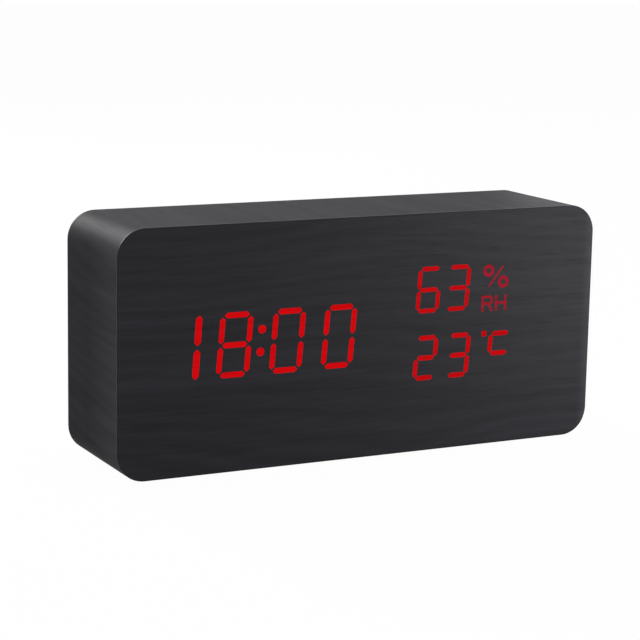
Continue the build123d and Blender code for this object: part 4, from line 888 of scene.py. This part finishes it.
up_mark = start_mark("up_mark", button_centre("up_button"), triangle_radius, 3)
bpy.ops.object.mode_set(mode="EDIT")
select_edges(up_mark, lambda edge: abs(edge_way(edge).y) > 0.9)
bpy.ops.mesh.bevel(offset=triangle_corner, offset_type="OFFSET", segments=5)
select_outer_rim(up_mark)
bpy.ops.mesh.bevel(offset=mark_bevel, offset_type="OFFSET", segments=3)
bpy.ops.object.mode_set(mode="OBJECT")
finish_piece(up_mark, "clock", mark_print)

# %% Copy the triangle and turn it
def copy_piece(piece, name):
    """A copy of the piece with its own mesh, left as the only one selected."""
    bpy.ops.object.select_all(action="DESELECT")
    piece.select_set(True)
    bpy.context.view_layer.objects.active = piece
    bpy.ops.object.duplicate(linked=False)
    copy = bpy.context.object
    copy.name = copy.data.name = name
    return copy


up_centre, down_centre = button_centre("up_button"), button_centre("down_button")
down_mark = copy_piece(up_mark, "down_mark")
bpy.ops.object.mode_set(mode="EDIT")
bpy.ops.mesh.select_all(action="SELECT")
bpy.ops.transform.translate(value=(down_centre.x - up_centre.x, 0, 0))
turn_centre = (down_centre.x, mark_root, down_centre.z + mark_rise)
bpy.ops.transform.rotate(value=radians(180), orient_axis="Y", center_override=turn_centre)
bpy.ops.object.mode_set(mode="OBJECT")
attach(down_mark, "clock")
print("down_mark faces:", len(down_mark.data.polygons))

# %% [markdown]
# ## Arrow on the battery door
# Above the door's grip ribs a raised arrow points down to the edge that opens. A cube becomes its shaft: the
# lower end is pushed out by nothing and widened to make the head's shoulders, then pushed down and narrowed
# to the tip. The rim of the outer face is bevelled, and the arrow rides on the door.

# %% Model the arrow
door_low, door_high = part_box("battery_door")
rib_height, tip_share = 0.0110, 0.08
rib_top = door_low.z + rib_height
shaft_width, shaft_length, head_width, head_length = 0.0014, 0.0042, 0.0044, 0.0032
arrow_x = (door_low.x + door_high.x) / 2
shaft_low = rib_top + head_length
bpy.ops.object.select_all(action="DESELECT")
shaft_place = (arrow_x, mark_root + mark_height / 2, shaft_low + shaft_length / 2)
bpy.ops.mesh.primitive_cube_add(size=1, location=shaft_place, scale=(shaft_width, mark_height, shaft_length))
door_arrow = start_piece("door_arrow")
bpy.ops.object.mode_set(mode="EDIT")
select_faces(door_arrow, lambda face: face.normal.z < -0.9)
head_centre = (arrow_x, mark_root, shaft_low)
bpy.ops.mesh.extrude_region_move(TRANSFORM_OT_translate={"value": (0, 0, 0)})
bpy.ops.transform.resize(value=(head_width / shaft_width, 1, 1), center_override=head_centre)
bpy.ops.mesh.extrude_region_move(TRANSFORM_OT_translate={"value": (0, 0, -head_length)})
bpy.ops.transform.resize(value=(tip_share, 1, 1), center_override=head_centre)
select_outer_rim(door_arrow)
bpy.ops.mesh.region_to_loop()
bpy.ops.mesh.bevel(offset=mark_bevel, offset_type="OFFSET", segments=2)
bpy.ops.object.mode_set(mode="OBJECT")
finish_piece(door_arrow, "door", mark_print)

# %% [markdown]
# ## Contacts of the power socket
# The tongue in the power socket carries five gilt contacts on its lower side. One is modelled: a strip whose
# outer end is bevelled so that the plug slides on. The other four are copies with their own meshes.

# %% Make the gilt
gilt = make_metal("gilt_contact", (0.80, 0.56, 0.22), (0.62, 0.42, 0.16), (0.18, 0.36), 0.2)

# %% Model one contact and copy it
tongue_low, tongue_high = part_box("usb_tongue")
tongue_middle = (tongue_low + tongue_high) / 2
tongue_thickness, contact_sunk, contact_inset, contact_bevel = 0.0007, 0.00004, 0.0003, 0.0001
contact_width, contact_height, contact_length, contact_pitch = 0.00036, 0.00016, 0.0046, 0.00065
contact_top = tongue_middle.z - tongue_thickness / 2 + contact_sunk
contact_back = tongue_high.y - contact_inset
bpy.ops.object.select_all(action="DESELECT")
first_place = Vector((tongue_middle.x - 2 * contact_pitch, contact_back, contact_top))
first_place -= Vector((0, contact_length, contact_height)) / 2
bpy.ops.mesh.primitive_cube_add(size=1, location=first_place,
                                scale=(contact_width, contact_length, contact_height))
first_contact = start_piece("socket_contact_1")
bpy.ops.object.mode_set(mode="EDIT")
select_edges(first_contact, lambda edge: all(vertex.co.y > contact_back - 1e-5 for vertex in edge.verts)
             and all(vertex.co.z < contact_top - contact_height / 2 for vertex in edge.verts))
bpy.ops.mesh.bevel(offset=contact_bevel, offset_type="OFFSET", segments=4)
bpy.ops.object.mode_set(mode="OBJECT")
finish_piece(first_contact, "clock", gilt)

for number in range(2, 6):
    contact = copy_piece(first_contact, "socket_contact_%d" % number)
    bpy.ops.object.mode_set(mode="EDIT")
    bpy.ops.mesh.select_all(action="SELECT")
    bpy.ops.transform.translate(value=((number - 1) * contact_pitch, 0, 0))
    bpy.ops.object.mode_set(mode="OBJECT")
    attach(contact, "clock")
print("contacts on the tongue: 5")
